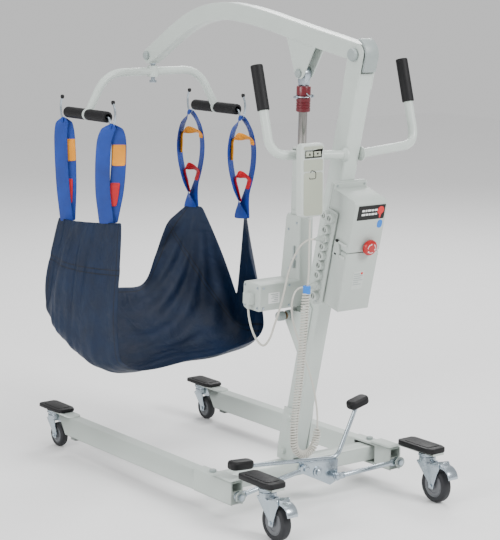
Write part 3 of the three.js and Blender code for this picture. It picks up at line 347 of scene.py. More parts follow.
def flow(points, steps=8):
    """A smooth centripetal curve through every point."""
    p = [Vector(q) for q in points]
    p = [p[0] * 2 - p[1]] + p + [p[-1] * 2 - p[-2]]
    route = []
    for a, b, c, d in zip(p, p[1:], p[2:], p[3:]):
        t1 = (b - a).length ** 0.5
        t2 = t1 + (c - b).length ** 0.5
        t3 = t2 + (d - c).length ** 0.5
        for i in range(steps):
            t = t1 + (t2 - t1) * i / steps
            a1 = a * ((t1 - t) / t1) + b * (t / t1)
            a2 = b * ((t2 - t) / (t2 - t1)) + c * ((t - t1) / (t2 - t1))
            a3 = c * ((t3 - t) / (t3 - t2)) + d * ((t - t2) / (t3 - t2))
            b1 = a1 * ((t2 - t) / t2) + a2 * (t / t2)
            b2 = a2 * ((t3 - t) / (t3 - t1)) + a3 * ((t - t1) / (t3 - t1))
            route.append(b1 * ((t2 - t) / (t2 - t1)) + b2 * ((t - t1) / (t2 - t1)))
    return route + [p[-2]]


def curve_of(name, route, radius, roundness=4):
    """A round bar or cord along a route given in metres."""
    data = bpy.data.curves.new(name, "CURVE")
    data.dimensions = "3D"
    line = data.splines.new("POLY")
    line.points.add(len(route) - 1)
    for at, p in zip(line.points, route):
        at.co = (*p, 1)
    data.bevel_depth = radius
    data.bevel_resolution = roundness
    data.use_fill_caps = True
    return linked(name, data)


def bar(route, radius, roundness=4):
    """A round bar along a route in millimetres, as a bmesh."""
    obj = curve_of("route", route, radius, roundness)
    passing = bpy.data.meshes.new_from_object(obj.evaluated_get(bpy.context.evaluated_depsgraph_get()))
    bm = bmesh.new()
    bm.from_mesh(passing)
    bmesh.ops.remove_doubles(bm, verts=bm.verts, dist=0.0005)
    data = obj.data
    bpy.data.objects.remove(obj)
    bpy.data.curves.remove(data)
    bpy.data.meshes.remove(passing)
    bmesh.ops.recalc_face_normals(bm, faces=bm.faces)
    return bm


BODY_OF = {n: body for body, members in frame["record"]["behaviour"]["bodies"].items() for n in members}


def dressed(node, material, width=0.9, steps=2, angle=32):
    """A CAD node's own shape with its edges rounded over."""
    bm = bmesh.new()
    bm.from_mesh(frame["nodes"][node].data)
    bmesh.ops.remove_doubles(bm, verts=bm.verts, dist=1e-6)
    bmesh.ops.dissolve_limit(bm, angle_limit=math.radians(0.6), verts=bm.verts, edges=bm.edges)
    bmesh.ops.scale(bm, vec=(1000, 1000, 1000), verts=bm.verts)
    soften(bm, width, steps, angle)
    return piece(node + "_finished", bm, material, BODY_OF[node],
                 Matrix.Scale(0.001, 4), (node,), sharp=30)


def mastwise(x, out, up):
    """A place given from the mast's rear face, as hoist millimetres."""
    y, z = MAST_FOOT
    return (x, y + out * math.cos(MAST_LEAN) + up * math.sin(MAST_LEAN),
            z - out * math.sin(MAST_LEAN) + up * math.cos(MAST_LEAN))


# ---------------- cords
# The routes are in hoist millimetres, except where a plug's place is given on the mast.
HANDSET_CORD = [(157, -24, 834.7), (157, -24, 815), (157, -25, 780), (157, -26, 740), (157, -27, 700),
                (159, -28, 670), (162, -29, 651)]
HANDSET_COIL = [(162, -29, 650.7), (165, -30, 625), (168, -32, 560), (172, -35, 490), (178, -38, 410),
                (186, -42, 330), (190, -45, 270), (185, -49, 228), (166, -54, 204), (140, -58, 197),
                (114, -63, 206), (98, -67, 228), (91, -70, 262)]
HANDSET_TAIL = [(91, -70, 263.2), (91, -70, 290), (95, -70, 325), (106, -70, 376), (124, -70, 428),
                (140, -71, 469), (154, -72, 506), (166, -74, 540), (172, -78, 576), (168, -84, 609),
                (152, -92, 633), (130, -101, 641), mastwise(105.2, 28, 406)]
ACTUATOR_LEAD = [mastwise(105.6, 28, 543), (118, -76, 773), (127, -98, 757), (132, -126, 716),
                 (134, -143, 680), (141, -162, 600), (150, -184, 530), (157, -199, 487), (163, -218, 468),
                 (169, -238, 480), (173, -256, 508), (174, -268, 540), (174, -272, 562.6)]
HANDSET_WIRE = 0.0025               # radii of the two cords, in metres
MOTOR_WIRE = 0.0029
COIL_PITCH = 7.4
COIL_CENTRE = 8.6                   # from the middle of the curl to the middle of its wire
COIL_EASE = 12                      # the curl opens and closes over this much of its route
COIL_FACETS = 14


def helix(route):
    """A curly cord wound round a route, easing out from it and back at its ends."""
    total = length_of(route)
    turns = round(total / COIL_PITCH)
    wound = []
    normal = (route[1] - route[0]).orthogonal().normalized()
    done = 0.0
    for a, b in zip(route, route[1:]):
        along = (b - a).normalized()
        normal = (normal - along * normal.dot(along)).normalized()
        side = along.cross(normal)
        step = (b - a).length
        count = max(2, round(step / COIL_PITCH * COIL_FACETS))
        for i in range(count):
            s = done + step * i / count
            angle = 2 * math.pi * turns * s / total
            reach = COIL_CENTRE * min(1.0, s / COIL_EASE, (total - s) / COIL_EASE)
            off = normal * (reach * math.cos(angle)) + side * (reach * math.sin(angle))
            wound.append(a.lerp(b, i / count) + off)
        done += step
    return wound + [route[-1]]


def spaced(route, least=0.0012):
    """A route without the points that lie nearly on top of one another."""
    kept = [route[0]]
    for p in route[1:-1]:
        if (p - kept[-1]).length >= least and (p - route[-1]).length >= least:
            kept.append(p)
    return kept + [route[-1]]


def length_of(route):
    return sum((b - a).length for a, b in zip(route, route[1:]))


def lead(name, route, radius, roundness, *stands_for):
    """A cord fixed to the chassis at both ends, along a route in hoist millimetres."""
    line = spaced([metres(p) for p in route])
    cord = curve_of(name, line, radius, roundness)
    cord.data.materials.append(CORD)
    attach(cord, "chassis")
    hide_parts(*stands_for)


lead("handset_lead", flow(HANDSET_CORD, 6) + helix(flow(HANDSET_COIL, 8)) + flow(HANDSET_TAIL, 6),
     HANDSET_WIRE, 3, "handset_cord", "handset_coil", "handset_cord_tail")
lead("motor_lead", flow(ACTUATOR_LEAD, 6), MOTOR_WIRE, 4, "actuator_lead")

# ---------------- base, legs and mast from their CAD shapes
WHEEL_X = 281                       # the casters and the legs' pivots, from the middle plane
LEG_PIVOT_Y = -290
BOLT_EASE = 0.92                    # slims the pivot bolts, so that a leg turns round them freely
for side, s in SIDES:
    dressed(f"leg_{side}", PAINT, 1.6, 3)
    bolt = dressed(f"pivot_bolt_{side}", BOLT_CAP, 0.8)
    on_axis = Matrix.Translation(metres((s * WHEEL_X, LEG_PIVOT_Y, 0)))
    bolt.data.transform(on_axis @ Matrix.Diagonal((BOLT_EASE, BOLT_EASE, 1, 1)) @ on_axis.inverted())
    dressed(f"tie_rod_{side}", ZINC, 0.6)
    for end in ("front", "rear"):
        dressed(f"caster_fork_{end}_{side}", ZINC, 0.5)
dressed("cross_tube", PAINT, 1.5, 3)
for node_name in ("mast_socket", "actuator_mount"):
    dressed(node_name, PAINT, 0.8)
dressed("actuator_foot_bolt", BOLT_CAP, 0.8)
dressed("hanger_swivel", ZINC, 0.6)


def mast_place(y, z):
    """Hoist y and z as distances out of the mast's rear face and up it."""
    dy, dz = y - MAST_FOOT[0], z - MAST_FOOT[1]
    return (dy * math.cos(MAST_LEAN) - dz * math.sin(MAST_LEAN),
            dy * math.sin(MAST_LEAN) + dz * math.cos(MAST_LEAN))


BOOM_PIVOT = (-10, 1258)            # hoist y and z
pivot_out, pivot_up = mast_place(*BOOM_PIVOT)
ear = [(-60, 940), (0, 940), (0, pivot_up + 4), *arc(26, 0, 180, 16, (pivot_out + 8, pivot_up + 6)),
       (-60, pivot_up - 12)]
mast_tube = soften(prism(rounded(50, 60, 6, 0, -30, 6), 1131, "Z", 419.5), 0.8, 2, 60)
piece("mast_tube", together(mast_tube, *[prism(ear, 3.8, "X", s * 23, 0.8) for _, s in SIDES]), PAINT,
      "chassis", MAST, ("mast",))

# The cap is a shell round the pivot, open to the front where the boom turns.
outside, inside = (arc(r, -14, 88, 17, (pivot_out, pivot_up)) for r in (44.5, 37))
shell = [(1.5, 990), (8.5, 990), (9.5, 1000), *outside, *reversed(inside), (1.5, 1012)]
on_case("mast_head_cap", prism(shell, 42, "X", 0, 1.8), BOLT_CAP)
head_cap = turned([(0, 26), (17, 26), (17.5, 28), (17.5, 33), (15, 37), (9, 38.5), (0, 39)], "X",
                  (0, *BOOM_PIVOT))
piece("boom_pivot_caps", both_sides(head_cap), BOLT_CAP, "chassis",
      stands_for=("boom_pivot_bolt",))

# ---------------- push handles
GRIP_LOW, GRIP_HIGH = Vector((247, -105, 1118)), Vector((247, -136, 1233))
HANDLE_ROOT = (-42, 995)            # hoist y and z, where the handles leave the mast
RIDGES = 36
GRIP_LINE = (GRIP_HIGH - GRIP_LOW).normalized()
GRIP_LENGTH = (GRIP_HIGH - GRIP_LOW).length


def push_arm():
    """The left handle's tube, with the collar at its root."""
    elbow = GRIP_LOW - GRIP_LINE * ((GRIP_LOW.z - 1005) / GRIP_LINE.z)
    arm = bar(bend([(28, *HANDLE_ROOT), elbow, GRIP_HIGH - GRIP_LINE * 6], 48, 14), 12.5, 6)
    collar = turned([(0, 25.5), (19, 25.5), (19, 29), (18, 31), (14, 34), (12.4, 38), (0, 38)], "X",
                    (0, *HANDLE_ROOT))
    return together(arm, collar)


def foam_grip():
    profile = [(12.6, 0.4), (15, 0), (16.2, 1.2)]
    for i in range(RIDGES):
        a = 3 + (GRIP_LENGTH - 8) * i / (RIDGES - 1)
        profile += [(16.5, a), (16.15, a + 1.1)]
    profile += [(16.2, GRIP_LENGTH - 2), (15, GRIP_LENGTH - 0.4), (12, GRIP_LENGTH + 0.2),
                (0, GRIP_LENGTH + 0.2)]
    return turned(profile, "Z", (0, 0, 0), 32)


for side, s in SIDES:
    arm, grip = push_arm(), foam_grip()
    if s < 0:
        for shape in (arm, grip):
            bmesh.ops.reverse_faces(shape, faces=shape.faces)
    turn = HOIST @ Matrix.Scale(s, 4, (1, 0, 0))
    aim = Matrix.Translation(GRIP_LOW) @ GRIP_LINE.to_track_quat("Z", "Y").to_matrix().to_4x4()
    piece(f"push_arm_{side}", arm, PAINT, "chassis", turn, (f"push_handle_{side}",))
    obj = piece(f"foam_grip_{side}", grip, FOAM, "chassis", turn @ aim, (f"grip_{side}",), sharp=60)

# ---------------- boom
BOOM_LINE = [(12, 1258), (-100, 1279), (-200, 1297), (-300, 1316), (-400, 1335), (-500, 1350), (-600, 1357),
             (-700, 1347), (-780, 1325), (-850, 1294), (-930, 1252), (-1012, 1206)]
BOOM_HALF = 25
TIP = (-1003, 1214)                 # hoist y and z of the pin that the hanger turns on
LUG_PIN = (-252, 1197)


def boom_outline():
    """The beam seen from the side; its nose under the tip is cut back round the hanger."""
    line = flow([(0, y, z) for y, z in BOOM_LINE], 8)
    top, low = [], []
    for i, p in enumerate(line):
        t = (line[min(i + 1, len(line) - 1)] - line[max(i - 1, 0)]).normalized()
        top.append((p.y + t.z * BOOM_HALF, p.z - t.y * BOOM_HALF))
        low.append((p.y - t.z * BOOM_HALF, p.z + t.y * BOOM_HALF))
    nose = [(y, z) for y, z in low if y > TIP[0] + 30] + arc(BOOM_HALF, -40, -166, 9, TIP)
    return top + list(reversed(nose))


lug = [(-310, 1296), (-182, 1272), (-234, 1190), (-242, 1183), (-262, 1183), (-270, 1190)]
beam = prism(boom_outline(), 40, "X", 0, 4.5, 4)
beam = together(beam, *[prism(lug, 4, "X", s * 16, 0.8) for _, s in SIDES])
piece("boom_beam", beam, PAINT, "boom", stands_for=("boom",))
lug_cap = turned([(0, 18), (12, 18), (12, 23), (10, 25), (6, 26), (0, 26.2)], "X", (0, *LUG_PIN), 28)
tip_cap = turned([(0, 20), (13, 20), (13.3, 24), (12.5, 28), (9, 30.4), (0, 31)], "X", (0, *TIP), 28)
piece("boom_bolt_caps", together(both_sides(lug_cap), both_sides(tip_cap)), BOLT_CAP, "boom")

# ---------------- actuator
dressed("actuator_body", CASE, 1.6, 3)
SCREW = [(0, 0), (3.4, 0), (3.4, 1.1), (2.9, 1.6), (1.2, 1.6), (1.0, 0.8), (0, 0.8)]


def screws(places, axis):
    """Screw heads at places, facing along an axis."""
    return together(*[turned(SCREW, axis, p, 16) for p in places])


on_actuator("motor_screws", screws([(161, y, z) for y in (-29, 29) for z in (40, 96)], "X"), ZINC)
cover_screws = screws([(23.6, -14, 130), (23.6, 20, 170), (23.6, -18, 240), (23.6, 18, 262)], "X")
motor_face_screws = screws([(x, 39.2, z) for x in (60, 148) for z in (40, 96)], "Y")
on_actuator("housing_screws", together(cover_screws, motor_face_screws), ZINC)
catch = together(prism(rounded(6, 60, 2, 26, 168), 5, "Y", 12, 0.8),
                 prism(rounded(9, 22, 2, 28, 148), 12, "Y", 12, 1))
on_actuator("release_catch", catch, BOLT_CAP)
on_actuator("motor_label", prism(rounded(38, 30, 2, 112, 66), 0.5, "Y", 39.3), PRINT_LIGHT)
lines = [prism(rounded(w, 1.6, 0.6, 98 + w / 2, 76 - i * 5), 0.4, "Y", 39.7)
         for i, w in enumerate((26, 20, 24, 14, 22))]
on_actuator("motor_label_rows", together(*lines), BOLT_CAP)
collar = turned([(20.5, 286), (24, 286), (25, 288), (25, 293), (24, 295), (20.5, 295)], "Z", steps=36,
                ring=True)
on_actuator("tube_collar", collar, CASE)

ROD_EYE = 670.5                     # up the actuator's axis
rod = turned([(0, 150), (11.6, 150), (12, 151), (12, 566), (0, 566)], "Z")
on_actuator("rod_bar", rod, CHROME, "actuator_rod", ("actuator_rod",))
eye_outline = [(-12, ROD_EYE - 34), (12, ROD_EYE - 34), (18, ROD_EYE - 2), *arc(18, 0, 180, 14, (0, ROD_EYE))]
rod_end = together(prism(eye_outline, 20, "X", 0, 1.2), disc(9, 634, 645, "Z", (0, 0, 0)))
on_actuator("rod_end", rod_end, ZINC, "actuator_rod")

sleeve = [(12.6, 566), (17.5, 566), (19.4, 567.5)]
for z in (578, 585, 592):
    sleeve += [(19.6, z - 1.6), (18.4, z - 0.6), (18.4, z + 0.6), (19.6, z + 1.6)]
sleeve += [(19.7, 603), (18, 604), (18, 611), (19.7, 612), (19.7, 633), (18.4, 636), (14, 637), (12.6, 637)]
on_actuator("quick_release_sleeve", turned(sleeve, "Z", steps=48, ring=True), SLEEVE_RED,
            "actuator_rod", ("release_sleeve",))
clip_line = [(0, 21, 607), (14, 17, 607), (22, 4, 607), (18, -14, 607), (0, -22, 607), (-18, -14, 607),
             (-22, 4, 607), (-14, 17, 607), (0, 21, 612), (8, 24, 618)]
pin_heads = [turned(profile, "X", (0, 0, 607), 6) for profile in (
    [(0, 20), (5.6, 20), (5.6, 25), (3, 26), (3, 33), (0, 33)],
    [(0, -33), (5.6, -33), (5.6, -28), (3, -27), (3, -20), (0, -20)])]
clip = together(bar(bend(clip_line, 8), 1.7, 3), *pin_heads)
on_actuator("sleeve_clip", clip, ZINC, "actuator_rod")

foot = (0, *ACTUATOR_FOOT)
bush = turned([(0, 31), (11.5, 31), (11.5, 36), (9, 36.4), (9, 39), (11, 39.4), (11, 44), (8, 44.4), (8, 48),
               (0, 48)], "X", foot, 24)
piece("foot_bolt_stack", bush, BRASS, "chassis")
knob = turned([(0, 47), (12, 47), (13.4, 48.5), (13.4, 64), (12, 67), (8, 68.4), (0, 68.8)], "X", foot, 32)
piece("foot_bolt_knob", knob, BOLT_CAP, "chassis")
ring = turned([(4, 0), (9, 0), (10, 1.4), (10, 20), (9, 21.4), (4, 21.4)], "Z", (162, -29, 640), 32, ring=True)
piece("coil_ring", ring, PRINT_BLUE, "chassis")

# ---------------- control unit, battery and sockets
FACE = 110.2                        # the unit's rear face, out of the mast's


def label(w, h, r, x, up, thick=0.5, lift=0.0):
    """A flat plate with round corners on the rear face."""
    return prism(rounded(w, h, r, x, up), thick, "Y", FACE + lift)


back = prism(rounded(116, 352, 8, 0, 516), 9.7, "Y", 5.15, 1.2)
on_case("case_back", back, CASE, stands_for=("control_plate",))
upper_side = [(10.3, 529), (110, 529), (110, 660), (107, 668), (99, 673), (10.3, 677)]
flange = prism([(9, 545), (15, 545), (15, 690), (9, 690)], 112, "X", 0, 1.6)
upper = together(prism(upper_side, 110, "X", 0, 3.2, 3), flange)
on_case("case_upper", upper, CASE, stands_for=("control_unit",))
dressed("battery_pack", CASE, 2.0, 3)
plate_screws = screws([(s * 46, out, up) for out, up in ((15, 684), (10, 350)) for _, s in SIDES], "Y")
on_case("plate_screws", plate_screws, BOLT_CAP)

on_case("warning_panel", label(92, 40, 1.2, -2, 641), PRINT)
rows = []
for row, widths in enumerate(((9, 5, 12, 7, 10), (12, 8, 6, 11, 6))):
    x = 30
    for w in widths:
        rows.append(label(w, 5.5, 0.8, x - w / 2, 647 - row * 11, 0.3, 0.4))
        x -= w + 2.2
on_case("panel_rows", together(*rows), PRINT_LIGHT)
sign = together(turned([(0, 0.3), (11, 0.3), (11.2, 0.5), (11, 0.8), (0, 0.8)], "Y", (-33, FACE, 645), 28),
                prism([(-37, 636), (-29, 636), (-31, 624), (-35, 624)], 0.5, "Y", FACE + 0.5))
on_case("panel_sign", sign, PRINT_RED)
on_case("blue_dot", prism(rounded(17, 23, 8.4, -38, 606, 8), 0.7, "Y", FACE), PRINT_BLUE)
on_case("battery_sticker", label(38, 52, 2, 2, 448), RIM)
lines = [label(w, 2, 0.6, 18 - w / 2, 466 - i * 6, 0.3, 0.4) for i, w in enumerate((20, 30, 26, 32, 18, 28))]
on_case("sticker_rows", together(*lines), BOLT_CAP)
on_case("sticker_dot", disc(3.4, 0.2, 0.8, "Y", (-8, FACE, 467), 20), PRINT_RED)

# ---------------- emergency stop
STOP = (-9, 110, 545)
stop_collar = turned([(9.2, 0.4), (14, 0.4), (14, 2), (12.6, 4), (11, 5.6), (9.2, 5.8)], "Y", STOP, ring=True)
on_case("stop_collar", stop_collar, BOLT_CAP)
cap = turned([(0, -2), (8, -2), (8, 5), (17, 5.4), (20.4, 7), (21.4, 10), (21.4, 14), (20, 17), (16.4, 18.8),
              (11, 19.6), (0, 19.8)], "Y", STOP, 48)
piece("stop_button", cap, RED, "emergency_stop", MAST, ("emergency_stop",))
arrows = []
for start in (0, 120, 240):
    shaft = [Vector((x, STOP[1] + 19.4, up)) for x, up in arc(12.5, start, start + 64, 8, (STOP[0], STOP[2]))]
    arrows.append(bar(shaft, 0.9, 2))
    a = math.radians(start + 78)
    head = [(STOP[0] + r * math.cos(a + turn), STOP[2] + r * math.sin(a + turn))
            for r, turn in ((9.6, -0.1), (15.4, -0.1), (12.4, 0.2))]
    arrows.append(prism(head, 1.2, "Y", STOP[1] + 19.5))
piece("stop_arrows", together(*arrows), PRINT_LIGHT, "emergency_stop", MAST)

# ---------------- sockets, plugs and case clips
SOCKETS = [(14.5, 603), (38, 603)] + [(28, up) for up in (567, 543, 519, 493, 465, 437, 406, 376)]
PLUGGED = (543, 406)
bosses, painted_well_shades = [prism(rounded(40, 262, 4, 32, 491), 5, "X", 60.8, 1)], []
for out, up in SOCKETS:
    if up in PLUGGED:
        bosses.append(turned([(0, 60), (12.6, 60), (12.6, 75), (11.4, 76.5), (0, 76.5)], "X", (0, out, up), 24))
        continue
    bosses.append(turned([(0, 69), (7, 69), (7.4, 77.5), (11.4, 77.5), (12.8, 76), (12.8, 60), (0, 60)], "X",
                         (0, out, up), 24))
    # A near-black disc at the bottom of each open socket is painted shade for the depth of the hole.
    painted_well_shades.append(disc(6.6, 69.1, 70, "X", (0, out, up), 20))
    bosses.append(prism(rounded(3, 13, 1, out, up), 7.5, "X", 73.4, 0.4))
on_case("socket_strip", together(*bosses), CASE, stands_for=("socket_bank",))
on_case("socket_well_shade", together(*painted_well_shades), SOCKET_SHADE)


def plug(up):
    """A round plug whose cord guard narrows in five ribs."""
    profile = [(0, 70), (9.5, 70), (9.5, 82)]
    for i in range(5):
        a, r = 84 + 3.4 * i, 8.6 - 0.95 * i
        profile += [(r, a), (r, a + 1.8), (r - 1.2, a + 2), (r - 1.2, a + 3.2)]
    return turned(profile + [(3.2, 104), (0, 104)], "X", (0, 28, up), 28)


on_case("lead_plugs", together(*[plug(up) for up in PLUGGED]), CASE)
clips = together(prism(rounded(40, 7, 2.4, 84, 548), 5, "X", 57.5, 1.2),
                 prism(rounded(36, 7, 2.4, 86, 513), 5, "X", 57.5, 1.2))
clip_pins = together(prism(rounded(11, 7, 2, 66, 549), 7, "X", 58, 1),
                     prism(rounded(11, 7, 2, 69, 514), 7, "X", 58, 1))
on_case("case_clips", both_sides(clips), RIM)
on_case("clip_pins", both_sides(clip_pins), BLACK)

# ---------------- handset
dressed("handset_case", RIM, 1.6, 3)
for way in ("up", "down"):
    dressed(f"handset_button_{way}", PANEL, 0.9)
HX, HY = 157, -11.5                 # middle and face of the handset
fields = [prism(rounded(62, h, r, HX, z), 0.8, "Y", HY + 0.3, edge)
          for h, r, z, edge in ((112, 7, 905, 0.2), (8, 3, 1024, 0), (30, 3, 979, 0))]
piece("handset_panel", together(*fields), PANEL, "chassis")
marks = [prism(rounded(54, 1.3, 0.4, HX, z), 0.5, "Y", HY + 0.5) for z in (998.5, 1017.5)]
marks += [prism(rounded(1.3, 20, 0.4, HX + x, 1008), 0.5, "Y", HY + 0.5) for x in (-27, 27)]
for x, up in ((13, 1), (-13, -1)):
    arrow = [(HX + x - 4, 1008 - 3 * up), (HX + x + 4, 1008 - 3 * up), (HX + x, 1008 + 4 * up)]
    marks.append(prism(arrow, 0.4, "Y", HY + 2.1))
piece("handset_marks", together(*marks), PRINT, "chassis")
hook_line = [(HX + x, HY + 0.9, z) for x, z in ((9, 960), (6, 966), (-8, 962), (-8, 944), (12, 944), (12, 948))]
piece("handset_hook_mark", bar(bend(hook_line, 5), 0.9, 2), PRINT, "chassis")

# ---------------- hanger, hooks and foam sleeves
HANGER_Y, BAR_Z, BAR_X = -1003, 1045, 235
CORNERS = (("left_rear", 1, 1), ("left_front", 1, -1), ("right_rear", -1, 1), ("right_front", -1, -1))
arch = bar(bend([(-BAR_X, HANGER_Y, BAR_Z), (-168, HANGER_Y, 1166), (168, HANGER_Y, 1166),
                 (BAR_X, HANGER_Y, BAR_Z)], 62, 16), 12.5, 7)
hub = turned([(6.5, 1149), (16, 1149), (17, 1150), (17, 1182), (16, 1183), (6.5, 1183)], "Z", (0, HANGER_Y, 0),
             36, ring=True)
bar_rings = [turned([(0, -4.5), (16.4, -4.5), (17.2, -3.6), (17.2, 3.6), (16.4, 4.5), (0, 4.5)], "Y",
                    (s * BAR_X, HANGER_Y, BAR_Z), 36) for _, s in SIDES]
piece("spreader_arch", together(arch, hub, *bar_rings), PAINT, "spreader", stands_for=("spreader",))


def hook_wire(s, e):
    """The wire hook at one end of a bar: out, down under the strap and up again."""
    path = bend([(s * BAR_X, HANGER_Y + e * out, BAR_Z + up) for out, up in (
        (100, 0), (124, -1), (130, -24), (150, -24), (157, 0), (157, 24), (147, 44))], 10, 6)
    return bar(path, 3.2, 3)


def hook_tip(s, e):
    return turned([(0, -7), (3.4, -6.6), (5.2, -4), (6, 0), (5.6, 3), (4, 5.2), (0, 6.2)], "Z",
                  (s * BAR_X, HANGER_Y + e * 146.5, BAR_Z + 45), 24)


piece("hook_wires", together(*[hook_wire(s, e) for _, s, e in CORNERS]), ZINC, "spreader")
piece("hook_tips", together(*[hook_tip(s, e) for _, s, e in CORNERS]), BLACK, "spreader")
SLEEVE_RIDGES = 30
for place, s, e in CORNERS:
    profile = [(9.6, 8), (14.5, 7), (16.4, 8.4)]
    for i in range(SLEEVE_RIDGES):
        a = 10 + 102 * i / (SLEEVE_RIDGES - 1)
        profile += [(16.9, a), (16.5, a + 1.2)]
    profile += [(16.2, 115.5), (14.6, 117), (9.6, 117)]
    foam = turned([(r, e * a) for r, a in profile], "Y", (s * BAR_X, HANGER_Y, BAR_Z), 36, ring=True)
    obj = piece(f"foam_sleeve_{place}", foam, FOAM, "spreader",
                stands_for=(f"bar_sleeve_{place}",), sharp=60)

# ---------------- sling
# Each row of the sheet, from the left top edge, under the seat, towards the right top edge, in hoist
# millimetres: its front edge, its middle and its rear edge. The last row, with its two peaks, is worked out.
SLING_ROWS = [
    ((246, -1165, 716), (250, -1000, 722), (240, -800, 742)),
    ((276, -1176, 590), (284, -1000, 580), (254, -794, 590)),
    ((292, -1172, 466), (303, -1000, 420), (262, -797, 424)),
    ((288, -1165, 434), (302, -1000, 338), (246, -812, 324)),
    ((190, -1150, 462), (232, -995, 306), (196, -830, 286)),
    ((70, -1143, 476), (120, -990, 298), (120, -838, 272)),
    ((-40, -1140, 478), (0, -985, 305), (0, -830, 292)),
    ((-92, -1142, 566), (-140, -985, 325), (-140, -815, 305)),
    ((-136, -1146, 660), (-262, -990, 370), (-270, -795, 345)),
]
ALONG, ACROSS = 84, 48
CLOTH_SIZE = (1.25, 0.42)           # about the sheet laid flat, in metres, for its weave and seams
CLOTH_FRAMES = 10


def sling_line(v):
    """One line of the sling from its left top edge, under the seat, to its right top edge."""
    points = []
    for far, middle, near in SLING_ROWS:
        w = (2 * (v - 0.5) * (v - 1), -4 * v * (v - 1), 2 * v * (v - 0.5))
        points.append(tuple(far[k] * w[0] + middle[k] * w[1] + near[k] * w[2] for k in range(3)))
    y = -1162 + 344 * v
    front_peak = max(0, 1 - max(0, y + 1106) / 166) ** 1.15
    rear_peak = max(0, 1 - max(0, abs(y + 862) - 17) / 65) ** 0.9
    points.append((-228 - 50 * math.sin(math.pi * v), y, 441 + 275 * max(front_peak, rear_peak)))
    fine = flow(points, 16)
    return [sample(fine, i / ALONG) for i in range(ALONG + 1)]


def sample(route, t):
    """The place at a share of a route's points."""
    place = t * (len(route) - 1)
    i = min(int(place), len(route) - 2)
    return route[i].lerp(route[i + 1], place - i)


columns = [sling_line(j / ACROSS) for j in range(ACROSS + 1)]
bm = bmesh.new()
grid = bmesh.ops.create_grid(bm, x_segments=ALONG, y_segments=ACROSS, size=0.5)["verts"]
laid = bm.loops.layers.uv.new("cloth")
ordered = {}
for vert in grid:
    i = round((vert.co.x + 0.5) * ALONG)
    j = round((vert.co.y + 0.5) * ACROSS)
    ordered[vert] = (i, j)
for face in bm.faces:
    for loop in face.loops:
        i, j = ordered[loop.vert]
        loop[laid].uv = (i / ALONG * CLOTH_SIZE[0], j / ACROSS * CLOTH_SIZE[1])
for vert, (i, j) in ordered.items():
    vert.co = columns[j][i]
bm.normal_update()
for vert, (i, j) in ordered.items():
    u, v = i / ALONG, j / ACROSS
    far = 1.06 - u
    turn = math.atan2(v - 0.10, far)
    fan = 10 * math.sin(17 * turn) * max(0, min(1, (1 - u) / 0.12)) * max(0, 1 - far / 0.72)
    drawn = 2.4 * math.sin(v * 46 + 2 * math.sin(9 * u)) * max(0, 1 - u / 0.28)
    ripple = 9 * noise.noise(Vector((u * 3.4, v * 7.0, 1.3))) + 5 * noise.noise(Vector((u * 9, v * 16, 4.1)))
    held = min(1.0, u / 0.05, (1 - u) / 0.08)
    # The rear side panel is sewn over the front one along a slanting line.
    lap = v - 0.36 * (1 - u / 0.30)
    step = (5 if lap > 0 else -4) * max(0, min(1, (0.30 - u) / 0.12)) * min(1, v / 0.1)
    sewn = -2.6 if i in (9, ALONG - 8) else 0
    outwards = -1 if vert.normal.dot(Vector((1, 0, -1))) < 0 else 1
    vert.co += vert.normal * (fan + drawn + ripple * held + step * outwards + sewn * outwards)
bmesh.ops.transform(bm, matrix=HOIST, verts=bm.verts)
order = [ordered[v] for v in bm.verts]
sling = linked("sling_sheet", mesh_of("sling_sheet", bm))
pins = sling.vertex_groups.new(name="held")
for index, (i, j) in enumerate(order):
    u, v = i / ALONG, j / ACROSS
    edge = min(v, 1 - v)
    hold = 1.0 if (u < 0.03 or u > 0.97) else 0.5 + 0.4 * max(0, 1 - edge / 0.12)
    pins.add([index], hold, "REPLACE")
bpy.context.view_layer.objects.active = sling
drape = sling.modifiers.new("drape", "CLOTH")
drape.settings.mass = 0.25
drape.settings.tension_stiffness = 25
drape.settings.compression_stiffness = 12
drape.settings.bending_stiffness = 0.3
drape.settings.vertex_group_mass = "held"
drape.settings.pin_stiffness = 1.5
drape.settings.quality = 6
drape.collision_settings.use_collision = False
drape.point_cache.frame_end = CLOTH_FRAMES + 2
for step in range(1, CLOTH_FRAMES + 1):
    bpy.context.scene.frame_set(step)
hung = bpy.data.meshes.new_from_object(sling.evaluated_get(bpy.context.evaluated_depsgraph_get()))
sling.modifiers.clear()
sling.data = hung
bpy.context.scene.frame_set(1)
sling.data.materials.clear()
sling.data.materials.append(CLOTH)
at = {place: vert.co.copy() for place, vert in zip(order, sling.data.vertices)}
thick = sling.modifiers.new("thickness", "SOLIDIFY")
thick.thickness = 0.0022
thick.offset = 0
fine = sling.modifiers.new("fine", "SUBSURF")
fine.levels = fine.render_levels = 1
sling.data.shade_smooth()
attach(sling, "spreader")
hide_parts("sling")

# ---------------- webbing straps
RIGHTWARDS = Vector((-0.806, 0.592, 0))
INWARDS = Vector((-0.592, -0.806, 0))


